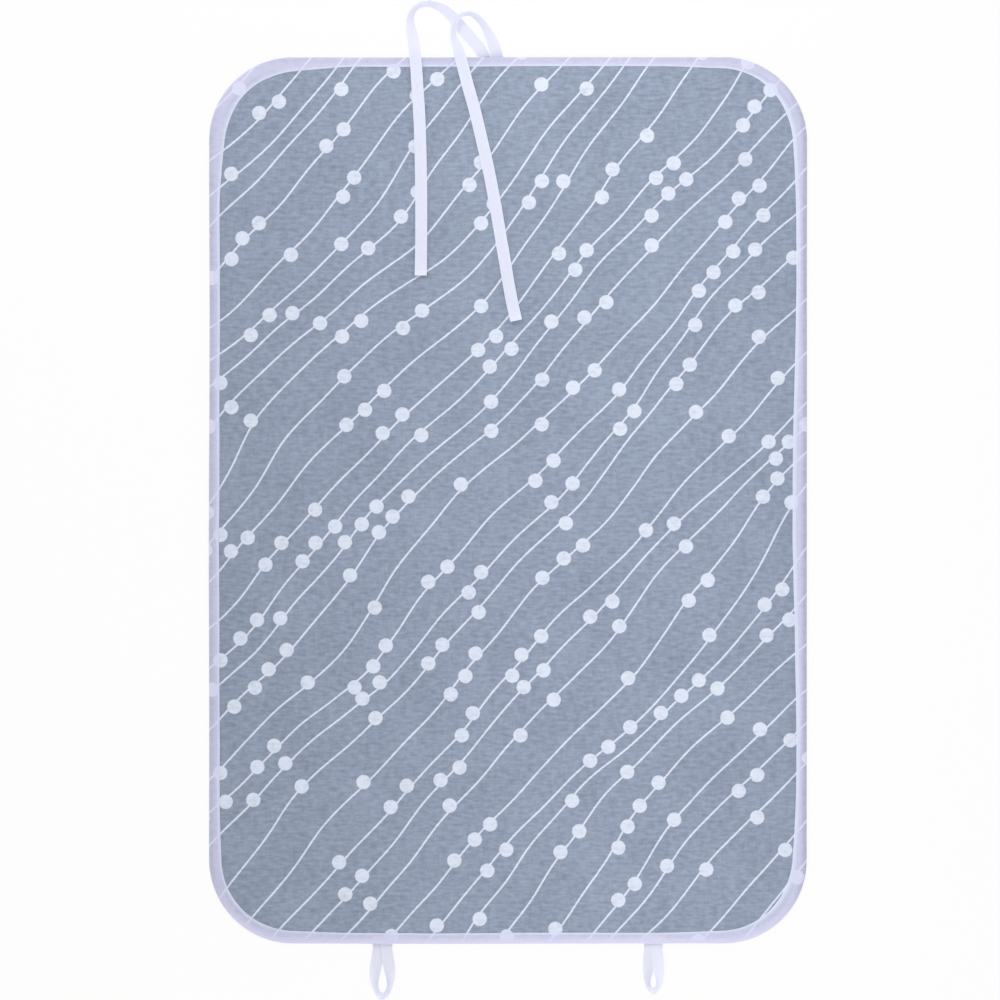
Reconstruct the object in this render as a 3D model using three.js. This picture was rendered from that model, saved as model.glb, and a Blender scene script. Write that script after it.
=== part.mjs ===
// Ironing pad: felt between a printed face cloth and a heat-reflecting backing cloth, bound all round
// by a folded strip. Two tie tapes are sewn to the back of one short edge and lie over the face, and
// two hanging loops are sewn to the back of the other.
// Millimetres, +Z up, origin at the middle of the underside, +Y towards the tie tapes.
import * as THREE from "three";

// The pad
const PAD_WIDTH = 600;
const PAD_LENGTH = 890;
const CORNER_RADIUS = 84;
const FACE_THICKNESS = 0.5;
const FELT_THICKNESS = 5.6;
const BACKING_THICKNESS = 0.5;
const EDGE_FELT_THICKNESS = 2.6; // the felt squeezed inside the binding
const SHOULDER_WIDTH = 26; // over which the felt swells from the binding to its full thickness

// The binding
const BINDING_WIDTH = 11;
const BINDING_THICKNESS = 0.4;

// The tapes
const TAPE_WIDTH = 12;
const TAPE_THICKNESS = 0.6;
const TAIL_LENGTH = 9; // sewn under the binding

// Clearances
const LAYER_GAP = 0.2; // between one cloth and the next
const TABLE_GAP = 0.2; // under a tape that lies on the table
const TIE_FOLD_GAP = 0.3; // between a tie's two stretches
const LOOP_FOLD_GAP = 0.9; // between a loop and its sewn tail, so that the loop can turn both ways
const TAIL_OVERHANG = 0.9; // of a loop's tail past the pad's edge

// Steps of the rounded forms
const CORNER_STEPS = 10;
const SHOULDER_STEPS = 6;
const NOSE_STEPS = 8;
const STEPS_PER_ROW = 3;

// Heights that follow from the layers
const PAD_THICKNESS = BACKING_THICKNESS + FELT_THICKNESS + FACE_THICKNESS + 2 * LAYER_GAP;
const EDGE_STACK = BACKING_THICKNESS + EDGE_FELT_THICKNESS + FACE_THICKNESS + 2 * LAYER_GAP;
const EDGE_HEIGHT = EDGE_STACK + 2 * (BINDING_THICKNESS + LAYER_GAP);
const EDGE_UNDERSIDE = TABLE_GAP + TAPE_THICKNESS + LAYER_GAP; // leaves room for the sewn tails
const NOSE_RADIUS = EDGE_HEIGHT / 2;
const NOSE_HEIGHT = EDGE_UNDERSIDE + NOSE_RADIUS;

// A tie's centreline, from its sewn tail to its free end. Each row is the place across the pad, how far
// it lies beyond the pad's edge, how far the tape leans up on its inner edge in degrees, and its rise as
// a share of the pad's thickness. The tie folds back at the row numbered fold.
const LEFT_TIE = {
  name: "left_tie",
  fold: 14,
  rows: [
    [-23.8, -TAIL_LENGTH, 0, 0],
    [-23.9, 0.5, 0, 0],
    [-28.0, 8.2, 4, 0],
    [-36.4, 18.0, 12, 0],
    [-45.6, 28.8, 15, 0],
    [-54.8, 39.4, 22, 0],
    [-65.7, 48.6, 46, 0],
    [-78.0, 53.2, 66, 0],
    [-89.2, 51.6, 72, 0],
    [-96.2, 44.9, 66, 0],
    [-98.2, 36.2, 50, 0.1],
    [-97.0, 25.4, 30, 0.4],
    [-94.8, 13.6, 15, 0.78],
    [-93.4, 3.4, 4, 1],
    [-92.4, -6.6, 0, 1],
    [-91.0, -27.5, 0, 1],
    [-88.8, -62.5, 0, 1],
    [-87.2, -122.8, 0, 1],
    [-87.0, -173.0, 0, 1],
    [-87.4, -219.8, 0, 1],
  ],
};
const RIGHT_TIE = {
  name: "right_tie",
  fold: 13,
  rows: [
    [-10.8, -TAIL_LENGTH, 0, 0],
    [-11.0, 0.5, 0, 0],
    [-13.0, 8.6, 10, 0],
    [-16.8, 18.2, 34, 0],
    [-21.6, 28.0, 50, 0.05],
    [-28.0, 36.8, 62, 0.22],
    [-36.2, 42.4, 74, 0.45],
    [-45.0, 42.0, 78, 0.72],
    [-52.0, 36.8, 78, 0.84],
    [-55.0, 28.8, 72, 0.78],
    [-54.5, 19.6, 56, 0.74],
    [-51.4, 10.0, 34, 0.88],
    [-48.8, 2.6, 12, 0.98],
    [-46.0, -6.6, 0, 1],
    [-41.0, -26.4, 0, 1],
    [-34.2, -50.6, 0, 1],
    [-27.2, -79.6, 0, 1],
    [-19.2, -114.8, 0, 1],
    [-13.8, -143.0, 0, 1],
    [-3.2, -205.0, 0, 1],
    [3.4, -243.0, 0, 1],
    [8.2, -265.0, 0, 1],
  ],
};

// A hanging loop's legs from the seam to its tip. Each row is the gap between the legs' inner edges, how
// far it lies beyond the pad's edge, how far the tape leans up on its inner edge in degrees, and how much
// of a tape's thickness the right leg is raised, where it lies over the left one.
const LOOP_ROOT = TAIL_OVERHANG + LOOP_FOLD_GAP;
const LEFT_LOOP = {
  name: "left_loop",
  middle: -126,
  legs: [
    [-4.2, LOOP_ROOT, 0, 1],
    [-4.2, 6, 0, 1],
    [-1.8, 14, 0, 1.1],
    [1.2, 22, 8, 1.2],
    [5, 30, 28, 0.2],
    [8.4, 38, 52, 0],
    [8.6, 44.6, 66, 0],
    [3.3, 50.2, 68, 0],
  ],
  tip: [52.6, 64],
};
const RIGHT_LOOP = {
  name: "right_loop",
  middle: 146,
  legs: [
    [-5.2, LOOP_ROOT, 0, 1],
    [-5.2, 6, 0, 1],
    [-4.2, 14, 0, 1],
    [-2.2, 21, 0, 1.3],
    [1.8, 28, 22, 1.3],
    [5.4, 34.5, 54, 0.3],
    [6.5, 40.6, 68, 0],
    [3, 45, 70, 0],
  ],
  tip: [47.2, 66],
};

const cloth = (colour, roughness) =>
  new THREE.MeshStandardMaterial({ color: colour, roughness, metalness: 0 });
const FACE_CLOTH = cloth(0x94a0b5, 0.9);
const FELT = cloth(0xe6e2d8, 1);
const BACKING_CLOTH = new THREE.MeshStandardMaterial({ color: 0xb4b8be, roughness: 0.45, metalness: 0.35 });
const BINDING_CLOTH = cloth(0xd6d7ee, 0.85);
const TAPE_CLOTH = cloth(0xe4e6f8, 0.85);

// A closed surface through rings that all have the same number of points. Each ring runs anticlockwise
// seen against the direction in which the rings follow each other.
function skin(rings, joinEnds) {
  const around = rings[0].length;
  const points = rings.flat();
  const faces = [];
  const lastBand = joinEnds ? rings.length : rings.length - 1;
  for (let band = 0; band < lastBand; band++) {
    const near = band * around;
    const far = ((band + 1) % rings.length) * around;
    for (let i = 0; i < around; i++) {
      const next = (i + 1) % around;
      faces.push(near + i, near + next, far + next);
      faces.push(near + i, far + next, far + i);
    }
  }
  if (!joinEnds) {
    const start = points.length;
    const end = points.length + 1;
    points.push(middleOf(rings[0]), middleOf(rings.at(-1)));
    for (let i = 0; i < around; i++) {
      const next = (i + 1) % around;
      const lastRing = (rings.length - 1) * around;
      faces.push(start, next, i);
      faces.push(end, lastRing + i, lastRing + next);
    }
  }
  const geometry = new THREE.BufferGeometry().setFromPoints(points);
  geometry.setIndex(faces);
  geometry.computeVertexNormals();
  return geometry;
}

function middleOf(ring) {
  const sum = ring.reduce((total, point) => total.add(point), new THREE.Vector3());
  return sum.divideScalar(ring.length);
}

// The pad's outline drawn in by an inset, at a height
function outline(inset, height) {
  const corners = [
    [1, 1],
    [-1, 1],
    [-1, -1],
    [1, -1],
  ];
  return corners.flatMap(([sideX, sideY], quarter) => {
    const radius = CORNER_RADIUS - inset;
    const start = (quarter * Math.PI) / 2;
    const arc = new THREE.EllipseCurve(
      sideX * (PAD_WIDTH / 2 - CORNER_RADIUS),
      sideY * (PAD_LENGTH / 2 - CORNER_RADIUS),
      radius,
      radius,
      start,
      start + Math.PI / 2,
    );
    return arc.getPoints(CORNER_STEPS).map(({ x, y }) => new THREE.Vector3(x, y, height));
  });
}

// A section of inset and height points carried round the outline. An open section starts and ends on
// flat middles, and a joined one makes a ring.
function carriedRound(section, joinEnds) {
  return skin(
    section.map(([inset, height]) => outline(inset, height)),
    joinEnds,
  );
}

// 0 inside the binding, and 1 where the felt has its full thickness
function swell(inset) {
  return THREE.MathUtils.smoothstep(inset, BINDING_WIDTH, BINDING_WIDTH + SHOULDER_WIDTH);
}

const backingUnderside = (inset) =>
  THREE.MathUtils.lerp(EDGE_UNDERSIDE + BINDING_THICKNESS + LAYER_GAP, 0, swell(inset));
const feltUnderside = (inset) => backingUnderside(inset) + BACKING_THICKNESS + LAYER_GAP;
const feltThickness = (inset) =>
  THREE.MathUtils.lerp(EDGE_FELT_THICKNESS, FELT_THICKNESS, swell(inset));
const faceUnderside = (inset) => feltUnderside(inset) + feltThickness(inset) + LAYER_GAP;

// A layer of the pad, flat inside the binding and in the middle, with its shoulder between
function layer(endInset, underside, thickness) {
  const shoulder = Array.from(
    { length: SHOULDER_STEPS + 1 },
    (_, step) => BINDING_WIDTH + (SHOULDER_WIDTH * step) / SHOULDER_STEPS,
  );
  const insets = [endInset, ...shoulder];
  const lower = insets.toReversed().map((inset) => [inset, underside(inset)]);
  const upper = insets.map((inset) => [inset, underside(inset) + thickness(inset)]);
  return carriedRound([...lower, ...upper], false);
}

// How near to the edge a layer can reach inside the rounded binding
function endInside(layerThickness) {
  const room = NOSE_RADIUS - BINDING_THICKNESS - LAYER_GAP;
  return NOSE_RADIUS - Math.sqrt(room ** 2 - (layerThickness / 2) ** 2);
}

// The binding's section: two flat flaps joined by a rounded nose
function bindingSection() {
  const nose = (radius, direction) =>
    Array.from({ length: NOSE_STEPS + 1 }, (_, step) => {
      const angle = direction * Math.PI * (step / NOSE_STEPS - 0.5);
      return [NOSE_RADIUS - radius * Math.cos(angle), NOSE_HEIGHT + radius * Math.sin(angle)];
    });
  const inner = NOSE_RADIUS - BINDING_THICKNESS;
  return [
    [BINDING_WIDTH, NOSE_HEIGHT - NOSE_RADIUS],
    ...nose(NOSE_RADIUS, 1),
    [BINDING_WIDTH, NOSE_HEIGHT + NOSE_RADIUS],
    [BINDING_WIDTH, NOSE_HEIGHT + inner],
    ...nose(inner, -1),
    [BINDING_WIDTH, NOSE_HEIGHT - inner],
  ];
}

// The centreline of a tape that rests on its lower edge, with its lean at each point
class TapePath extends THREE.Curve {
  constructor(rows) {
    super();
    this.rows = rows;
    this.plan = new THREE.CatmullRomCurve3(rows.map(([x, y, , rise]) => new THREE.Vector3(x, y, rise)));
    this.leans = new THREE.CatmullRomCurve3(rows.map(([, , lean]) => new THREE.Vector3(lean, 0, 0)));
  }

  leanAt(t) {
    return THREE.MathUtils.degToRad(Math.max(0, this.leans.getPoint(t).x));
  }

  getPoint(t, target = new THREE.Vector3()) {
    const lean = this.leanAt(t);
    this.plan.getPoint(t, target);
    target.z += TABLE_GAP;
    target.z += (TAPE_WIDTH / 2) * Math.sin(lean) + (TAPE_THICKNESS / 2) * Math.cos(lean);
    return target;
  }

  // The tape's four corners at a point, its inner edge to the left of the way it runs
  section(t) {
    const middle = this.getPoint(t);
    const along = this.getTangent(t);
    const level = new THREE.Vector3(0, 0, 1).cross(along).normalize();
    const inwards = level.applyAxisAngle(along, -this.leanAt(t));
    const upwards = new THREE.Vector3().crossVectors(along, inwards);
    inwards.multiplyScalar(TAPE_WIDTH / 2);
    upwards.multiplyScalar(TAPE_THICKNESS / 2);
    return [
      middle.clone().add(inwards).sub(upwards),
      middle.clone().add(inwards).add(upwards),
      middle.clone().sub(inwards).add(upwards),
      middle.clone().sub(inwards).sub(upwards),
    ];
  }

  // The share of the path at a row
  at(row) {
    return row / (this.rows.length - 1);
  }

  // The tape from one share of the path to another
  tape(from, to) {
    const steps = Math.ceil((to - from) * (this.rows.length - 1)) * STEPS_PER_ROW;
    const rings = Array.from({ length: steps + 1 }, (_, step) =>
      this.section(THREE.MathUtils.lerp(from, to, step / steps)),
    );
    return skin(rings, false);
  }
}

const pad = new THREE.Group();

function add(name, geometry, material) {
  const mesh = new THREE.Mesh(geometry, material);
  mesh.name = name;
  pad.add(mesh);
}

// A tie: a stretch from its sewn tail to the fold over the pad's edge, and the end that lies on the face
function addTie({ name, fold, rows }) {
  const path = new TapePath(
    rows.map(([x, beyond, lean, climb]) => [x, PAD_LENGTH / 2 + beyond, lean, climb * PAD_THICKNESS]),
  );
  const foldAt = path.at(fold);
  const nextAt = path.at(fold + 1);
  const rowLength = path.getPoint(foldAt).distanceTo(path.getPoint(nextAt));
  const gap = (TIE_FOLD_GAP / rowLength) * (nextAt - foldAt);
  add(`${name}_root`, path.tape(0, foldAt), TAPE_CLOTH);
  add(`${name}_end`, path.tape(foldAt + gap, 1), TAPE_CLOTH);
}

// How far a loop's leg lies out from the loop's middle
function legAcross(gap, lean) {
  return gap / 2 + (TAPE_WIDTH / 2) * Math.cos(THREE.MathUtils.degToRad(lean));
}

// A hanging loop, and its two overlapping ends sewn flat under the binding
function addLoop({ name, middle, legs, tip }) {
  const overlapRise = TAPE_THICKNESS + LAYER_GAP;
  const row = (x, beyond, lean, rise) => [middle + x, -PAD_LENGTH / 2 - beyond, lean, rise];
  const leftLeg = legs.map(([gap, beyond, lean]) => row(-legAcross(gap, lean), beyond, lean, 0));
  const rightLeg = legs.map(([gap, beyond, lean, over]) =>
    row(legAcross(gap, lean), beyond, lean, over * overlapRise),
  );
  const [tipBeyond, tipLean] = tip;
  const path = new TapePath([...leftLeg, row(0, tipBeyond, tipLean, 0), ...rightLeg.toReversed()]);
  add(name, path.tape(0, 1), TAPE_CLOTH);

  const [[rootGap, , rootLean]] = legs;
  const tailWidth = 2 * legAcross(rootGap, rootLean) + TAPE_WIDTH;
  const tail = new THREE.BoxGeometry(tailWidth, TAIL_LENGTH + TAIL_OVERHANG, TAPE_THICKNESS);
  tail.translate(
    middle,
    -PAD_LENGTH / 2 + (TAIL_LENGTH - TAIL_OVERHANG) / 2,
    TABLE_GAP + TAPE_THICKNESS / 2,
  );
  add(`${name}_tail`, tail, TAPE_CLOTH);
}

add("backing_cover", layer(NOSE_RADIUS, backingUnderside, () => BACKING_THICKNESS), BACKING_CLOTH);
add("felt_padding", layer(endInside(EDGE_FELT_THICKNESS), feltUnderside, feltThickness), FELT);
add("face_cover", layer(NOSE_RADIUS, faceUnderside, () => FACE_THICKNESS), FACE_CLOTH);
add("edge_binding", carriedRound(bindingSection(), true), BINDING_CLOTH);
addTie(LEFT_TIE);
addTie(RIGHT_TIE);
addLoop(LEFT_LOOP);
addLoop(RIGHT_LOOP);

export default pad;
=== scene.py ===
"""An ironing pad: a printed, felt-filled mat with a bound edge, two tie tapes and two hanging loops."""

import logging
import math
from collections.abc import Callable, Sequence
from dataclasses import dataclass, field
from enum import Enum
from typing import NamedTuple

import bmesh
import bpy
from bmesh.types import BMEdge, BMesh, BMFace, BMVert
from mathutils import Matrix, Vector, noise


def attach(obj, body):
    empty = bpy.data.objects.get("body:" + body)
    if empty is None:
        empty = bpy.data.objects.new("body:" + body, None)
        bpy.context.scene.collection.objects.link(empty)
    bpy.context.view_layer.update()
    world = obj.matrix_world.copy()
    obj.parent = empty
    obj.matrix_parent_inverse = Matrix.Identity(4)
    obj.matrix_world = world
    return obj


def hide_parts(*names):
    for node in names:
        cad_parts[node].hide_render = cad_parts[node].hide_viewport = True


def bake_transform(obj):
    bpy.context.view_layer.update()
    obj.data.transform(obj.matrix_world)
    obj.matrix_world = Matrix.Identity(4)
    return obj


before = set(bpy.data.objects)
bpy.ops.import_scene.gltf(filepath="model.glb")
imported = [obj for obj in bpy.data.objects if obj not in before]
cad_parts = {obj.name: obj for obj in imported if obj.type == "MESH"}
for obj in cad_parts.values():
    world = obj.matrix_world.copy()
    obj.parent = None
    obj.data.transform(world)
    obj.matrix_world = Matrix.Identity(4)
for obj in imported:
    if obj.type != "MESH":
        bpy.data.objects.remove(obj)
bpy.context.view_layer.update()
LOG = logging.getLogger("ironing_pad")
TINY = 1e-6

Colour = tuple[float, float, float, float]
Feed = float | Colour | Vector | bpy.types.NodeSocket


def tint(red: int, green: int, blue: int) -> Colour:
    """Turns a colour as a screen shows it into the shader's own scale.

    Args:
        red: Red from 0 to 255.
        green: Green from 0 to 255.
        blue: Blue from 0 to 255.

    Returns:
        The linear colour, with full opacity.
    """
    shares = [part / 255 for part in (red, green, blue)]
    linear = [s / 12.92 if s <= 0.04045 else ((s + 0.055) / 1.055) ** 2.4 for s in shares]
    return (linear[0], linear[1], linear[2], 1.0)


def smoothstep(value: float, low: float, high: float) -> float:
    """Rises softly from 0 to 1.

    Args:
        value: The value that is looked up.
        low: Where the rise starts.
        high: Where the rise ends.

    Returns:
        The share of the rise.
    """
    share = min(max((value - low) / (high - low), 0.0), 1.0)
    return share * share * (3.0 - 2.0 * share)


def waver(across: float, along: float = 0.0, seed: float = 0.0) -> float:
    """Gives smooth unevenness.

    Args:
        across: First coordinate, in wavelengths.
        along: Second coordinate, in wavelengths.
        seed: Picks another field of unevenness.

    Returns:
        A value from -1 to 1.
    """
    return noise.noise(Vector((across, along, 7.31 * seed + 0.37)))


class Nodes:
    """Adds nodes to one tree and links what they are given."""

    def __init__(self, tree: bpy.types.NodeTree) -> None:
        """Keeps the tree.

        Args:
            tree: The material's or group's node tree.
        """
        self.tree = tree

    def add(self, kind: str, **settings: object) -> bpy.types.Node:
        """Adds a node.

        Args:
            kind: The node's type name.
            **settings: Properties of the node.

        Returns:
            The new node.
        """
        node = self.tree.nodes.new(kind)
        for name, value in settings.items():
            setattr(node, name, value)
        return node

    def feed(self, socket: bpy.types.NodeSocket, value: Feed) -> None:
        """Links a socket to another, or sets its value.

        Args:
            socket: The input that is fed.
            value: An output socket, or a plain value.
        """
        if isinstance(value, bpy.types.NodeSocket):
            self.tree.links.new(value, socket)
        else:
            socket.default_value = value

    def math(self, operation: str, *values: Feed) -> bpy.types.NodeSocket:
        """Adds a Math node.

        Args:
            operation: The node's operation.
            *values: Its inputs in order.

        Returns:
            The result.
        """
        node = self.add("ShaderNodeMath", operation=operation)
        for socket, value in zip(node.inputs, values):
            self.feed(socket, value)
        return node.outputs[0]

    def scaled(self, value: Feed, factor: Feed, offset: Feed) -> bpy.types.NodeSocket:
        """Multiplies a value and adds to it.

        Args:
            value: The value.
            factor: What it is multiplied by.
            offset: What is added then.

        Returns:
            The result.
        """
        return self.math("ADD", self.math("MULTIPLY", value, factor), offset)

    def about_zero(self, value: Feed, factor: Feed) -> bpy.types.NodeSocket:
        """Moves values about 0.5 to values about 0, and multiplies them.

        Args:
            value: The values about 0.5.
            factor: What they are multiplied by.

        Returns:
            The result.
        """
        return self.math("MULTIPLY", self.math("SUBTRACT", value, 0.5), factor)

    def weighed(self, *parts: tuple[Feed, float]) -> bpy.types.NodeSocket:
        """Adds up values by weight.

        Args:
            *parts: Each value and its weight.

        Returns:
            The sum.
        """
        products = [self.math("MULTIPLY", value, weight) for value, weight in parts]
        total = products[0]
        for product in products[1:]:
            total = self.math("ADD", total, product)
        return total

    def ramp(
        self, value: Feed, low: Feed, high: Feed, start: Feed = 0.0, end: Feed = 1.0
    ) -> bpy.types.NodeSocket:
        """Adds a soft rise from one value to another.

        Args:
            value: The value that is looked up.
            low: Where the rise starts.
            high: Where the rise ends.
            start: The result before the rise.
            end: The result after the rise.

        Returns:
            The result.
        """
        node = self.add("ShaderNodeMapRange", interpolation_type="SMOOTHSTEP")
        for socket, given in zip(node.inputs, (value, low, high, start, end)):
            self.feed(socket, given)
        return node.outputs[0]

    def mix(self, share: Feed, first: Feed, second: Feed) -> bpy.types.NodeSocket:
        """Mixes two colours.

        Args:
            share: The second colour's share.
            first: The first colour.
            second: The second colour.

        Returns:
            The mixed colour.
        """
        node = self.add("ShaderNodeMix", data_type="RGBA")
        self.feed(node.inputs[0], share)
        self.feed(node.inputs[6], first)
        self.feed(node.inputs[7], second)
        return node.outputs[2]

    def join(self, x: Feed, y: Feed, z: Feed = 0.0) -> bpy.types.NodeSocket:
        """Makes a vector of three values.

        Args:
            x: The first value.
            y: The second value.
            z: The third value.

        Returns:
            The vector.
        """
        node = self.add("ShaderNodeCombineXYZ")
        for socket, value in zip(node.inputs, (x, y, z)):
            self.feed(socket, value)
        return node.outputs[0]

    def split(self, vector: Feed) -> bpy.types.NodeOutputs:
        """Splits a vector, or a colour taken as one, into its three values.

        Args:
            vector: The vector.

        Returns:
            Its X, Y and Z outputs.
        """
        node = self.add("ShaderNodeSeparateXYZ")
        self.feed(node.inputs[0], vector)
        return node.outputs

    def millimetres(self, place: Feed) -> list[bpy.types.NodeSocket]:
        """Gives a place's x and y in millimetres.

        Args:
            place: The place in metres.

        Returns:
            Its x and its y.
        """
        x, y, _ = self.split(place)
        return [self.math("MULTIPLY", part, 1000.0) for part in (x, y)]

    def noise(self, vector: Feed, scale: float = 1.0, detail: float = 2.0) -> bpy.types.NodeSocket:
        """Adds smooth noise.

        Args:
            vector: Where it is looked up.
            scale: How often it repeats in a unit.
            detail: How many finer layers it has.

        Returns:
            Values about 0.5.
        """
        node = self.add("ShaderNodeTexNoise", noise_dimensions="2D")
        self.feed(node.inputs["Vector"], vector)
        node.inputs["Scale"].default_value = scale
        node.inputs["Detail"].default_value = detail
        return node.outputs[0]

    def chance(self, vector: Feed) -> bpy.types.NodeOutputs:
        """Adds a fixed random number for each place.

        Args:
            vector: The place.

        Returns:
            The Value and Color outputs.
        """
        node = self.add("ShaderNodeTexWhiteNoise", noise_dimensions="2D")
        self.feed(node.inputs["Vector"], vector)
        return node.outputs

    def place(self) -> bpy.types.NodeSocket:
        """Gives the surface's place in the pad's own frame."""
        return self.add("ShaderNodeTexCoord").outputs["Object"]

    def attribute(self, name: str) -> bpy.types.NodeSocket:
        """Reads one of the mesh's own values.

        Args:
            name: The attribute's name.

        Returns:
            Its value.
        """
        return self.add("ShaderNodeAttribute", attribute_name=name).outputs["Fac"]

    def bump(self, height: Feed, distance: float, strength: float) -> bpy.types.NodeSocket:
        """Turns a height into a normal.

        Args:
            height: The height from 0 to 1.
            distance: What a height of 1 stands for, in metres.
            strength: How strongly it shows.

        Returns:
            The normal.
        """
        node = self.add("ShaderNodeBump")
        node.inputs["Strength"].default_value = strength
        node.inputs["Distance"].default_value = distance
        self.feed(node.inputs["Height"], height)
        return node.outputs[0]


@dataclass(frozen=True)
class SharedEffect:
    """A node group that is built once and placed in any tree."""

    name: str
    takes: dict[str, str]
    gives: dict[str, str]
    draw: Callable[[Nodes, bpy.types.NodeOutputs, bpy.types.NodeInputs], None]

    def tree(self) -> bpy.types.NodeTree:
        """Finds the group, or builds it the first time.

        Returns:
            The group's tree.
        """
        found = bpy.data.node_groups.get(self.name)
        if found:
            return found
        tree = bpy.data.node_groups.new(self.name, "ShaderNodeTree")
        for name, kind in self.takes.items():
            tree.interface.new_socket(name, in_out="INPUT", socket_type=f"NodeSocket{kind}")
        for name, kind in self.gives.items():
            tree.interface.new_socket(name, in_out="OUTPUT", socket_type=f"NodeSocket{kind}")
        nodes = Nodes(tree)
        given = nodes.add("NodeGroupInput").outputs
        result = nodes.add("NodeGroupOutput").inputs
        self.draw(nodes, given, result)
        return tree

    def put(self, nodes: Nodes, *values: Feed) -> bpy.types.NodeOutputs:
        """Places the group in a tree.

        Args:
            nodes: The tree's node maker.
            *values: The group's inputs in order.

        Returns:
            The group's outputs.
        """
        node = nodes.add("ShaderNodeGroup", node_tree=self.tree())
        for socket, value in zip(node.inputs, values):
            nodes.feed(socket, value)
        return node.outputs


@dataclass(frozen=True)
class PrintLayout:
    """Sizes of the printed wavy lines and dots, in millimetres, and how often dots come."""

    slant: float = math.radians(48.0)
    spacing: float = 28.5
    line_half_width: float = 0.95
    dot_radius: float = 7.2
    dot_cell: float = 25.0
    dot_aside: float = 4.0
    dot_margin: float = 0.39
    dot_play: float = 0.22
    start_row: float = 3.7
    block: float = 5.0
    block_row: float = 0.5
    pair_from: float = 0.5
    triple_from: float = 0.88
    long_sway: float = 54.0
    long_wave: float = 300.0
    short_sway: float = 10.0
    short_wave: float = 88.0
    short_shift: float = 37.0
    neighbour_step: float = 0.31
    soft_edge: float = 0.45
    uneven: float = 0.7
    uneven_scale: float = 0.9
    passes: int = 3


PRINT = PrintLayout()


def draw_sway(nodes: Nodes, given: bpy.types.NodeOutputs, result: bpy.types.NodeInputs) -> None:
    """Draws how far a printed line strays sideways at a place along it.

    Args:
        nodes: The group's node maker.
        given: The line's number and the place along it.
        result: The sway.
    """
    row = nodes.math("MULTIPLY", given["Line"], PRINT.neighbour_step)
    waves = []
    for wave, sway, shift in (
        (PRINT.long_wave, PRINT.long_sway, 0.0),
        (PRINT.short_wave, PRINT.short_sway, PRINT.short_shift),
    ):
        along = nodes.math("DIVIDE", given["Along"], wave)
        field_value = nodes.noise(nodes.join(nodes.math("ADD", along, shift), row), detail=0.0)
        waves.append(nodes.about_zero(field_value, sway))
    nodes.feed(result["Sway"], nodes.math("ADD", *waves))


SWAY = SharedEffect("line_sway", {"Line": "Float", "Along": "Float"}, {"Sway": "Float"}, draw_sway)


def inked(nodes: Nodes, distance: Feed, reach: float) -> bpy.types.NodeSocket:
    """Masks what lies within reach, with a soft edge.

    Args:
        nodes: The group's node maker.
        distance: The distance from the middle of a line or a dot.
        reach: How far its ink reaches.

    Returns:
        The mask.
    """
    return nodes.ramp(distance, reach - PRINT.soft_edge, reach + PRINT.soft_edge, 1.0, 0.0)


def draw_line(nodes: Nodes, given: bpy.types.NodeOutputs, result: bpy.types.NodeInputs) -> None:
    """Draws one printed line and the dots that sit on it.

    Args:
        nodes: The group's node maker.
        given: The line's number, the place across and along, and the ink's unevenness.
        result: The mask of the ink.
    """
    line, along = given["Line"], given["Along"]
    rest = nodes.math("MULTIPLY", line, PRINT.spacing)
    here = nodes.math("ADD", rest, SWAY.put(nodes, line, along)[0])
    off_line = nodes.math("ABSOLUTE", nodes.math("SUBTRACT", given["Across"], here))
    off_line = nodes.math("ADD", off_line, given["Uneven"])
    stroke = inked(nodes, off_line, PRINT.line_half_width)

    start = nodes.chance(nodes.join(line, PRINT.start_row))["Value"]
    cell = nodes.math("FLOOR", nodes.math("ADD", nodes.math("DIVIDE", along, PRINT.dot_cell), start))
    luck = nodes.split(nodes.chance(nodes.join(line, cell))["Color"])
    shifted = nodes.scaled(luck["X"], PRINT.dot_play, PRINT.dot_margin)
    dot_along = nodes.math("SUBTRACT", nodes.math("ADD", cell, shifted), start)
    dot_along = nodes.math("MULTIPLY", dot_along, PRINT.dot_cell)
    aside = nodes.about_zero(luck["Y"], 2 * PRINT.dot_aside)
    dot_across = nodes.math("ADD", rest, SWAY.put(nodes, line, dot_along)[0])
    dot_across = nodes.math("ADD", dot_across, aside)
    reach = nodes.add("ShaderNodeVectorMath", operation="DISTANCE")
    nodes.feed(reach.inputs[0], nodes.join(given["Across"], along))
    nodes.feed(reach.inputs[1], nodes.join(dot_across, dot_along))
    off_dot = nodes.math("ADD", reach.outputs["Value"], given["Uneven"])
    disc = inked(nodes, off_dot, PRINT.dot_radius)

    block = nodes.math("FLOOR", nodes.math("DIVIDE", cell, PRINT.block))
    row = nodes.math("ADD", line, PRINT.block_row)
    draw = nodes.split(nodes.chance(nodes.join(row, block))["Color"])
    first = nodes.math("FLOOR", nodes.math("MULTIPLY", draw["X"], PRINT.block))
    after = nodes.math("FLOORED_MODULO", nodes.math("SUBTRACT", cell, first), PRINT.block)
    more = nodes.math("GREATER_THAN", draw["Y"], PRINT.pair_from)
    most = nodes.math("GREATER_THAN", draw["Y"], PRINT.triple_from)
    there = nodes.math("LESS_THAN", after, nodes.math("ADD", nodes.math("ADD", more, most), 0.5))
    nodes.feed(result["Ink"], nodes.math("MAXIMUM", stroke, nodes.math("MULTIPLY", disc, there)))


LINE = SharedEffect(
    "printed_line",
    {"Line": "Float", "Across": "Float", "Along": "Float", "Uneven": "Float"},
    {"Ink": "Float"},
    draw_line,
)


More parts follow.
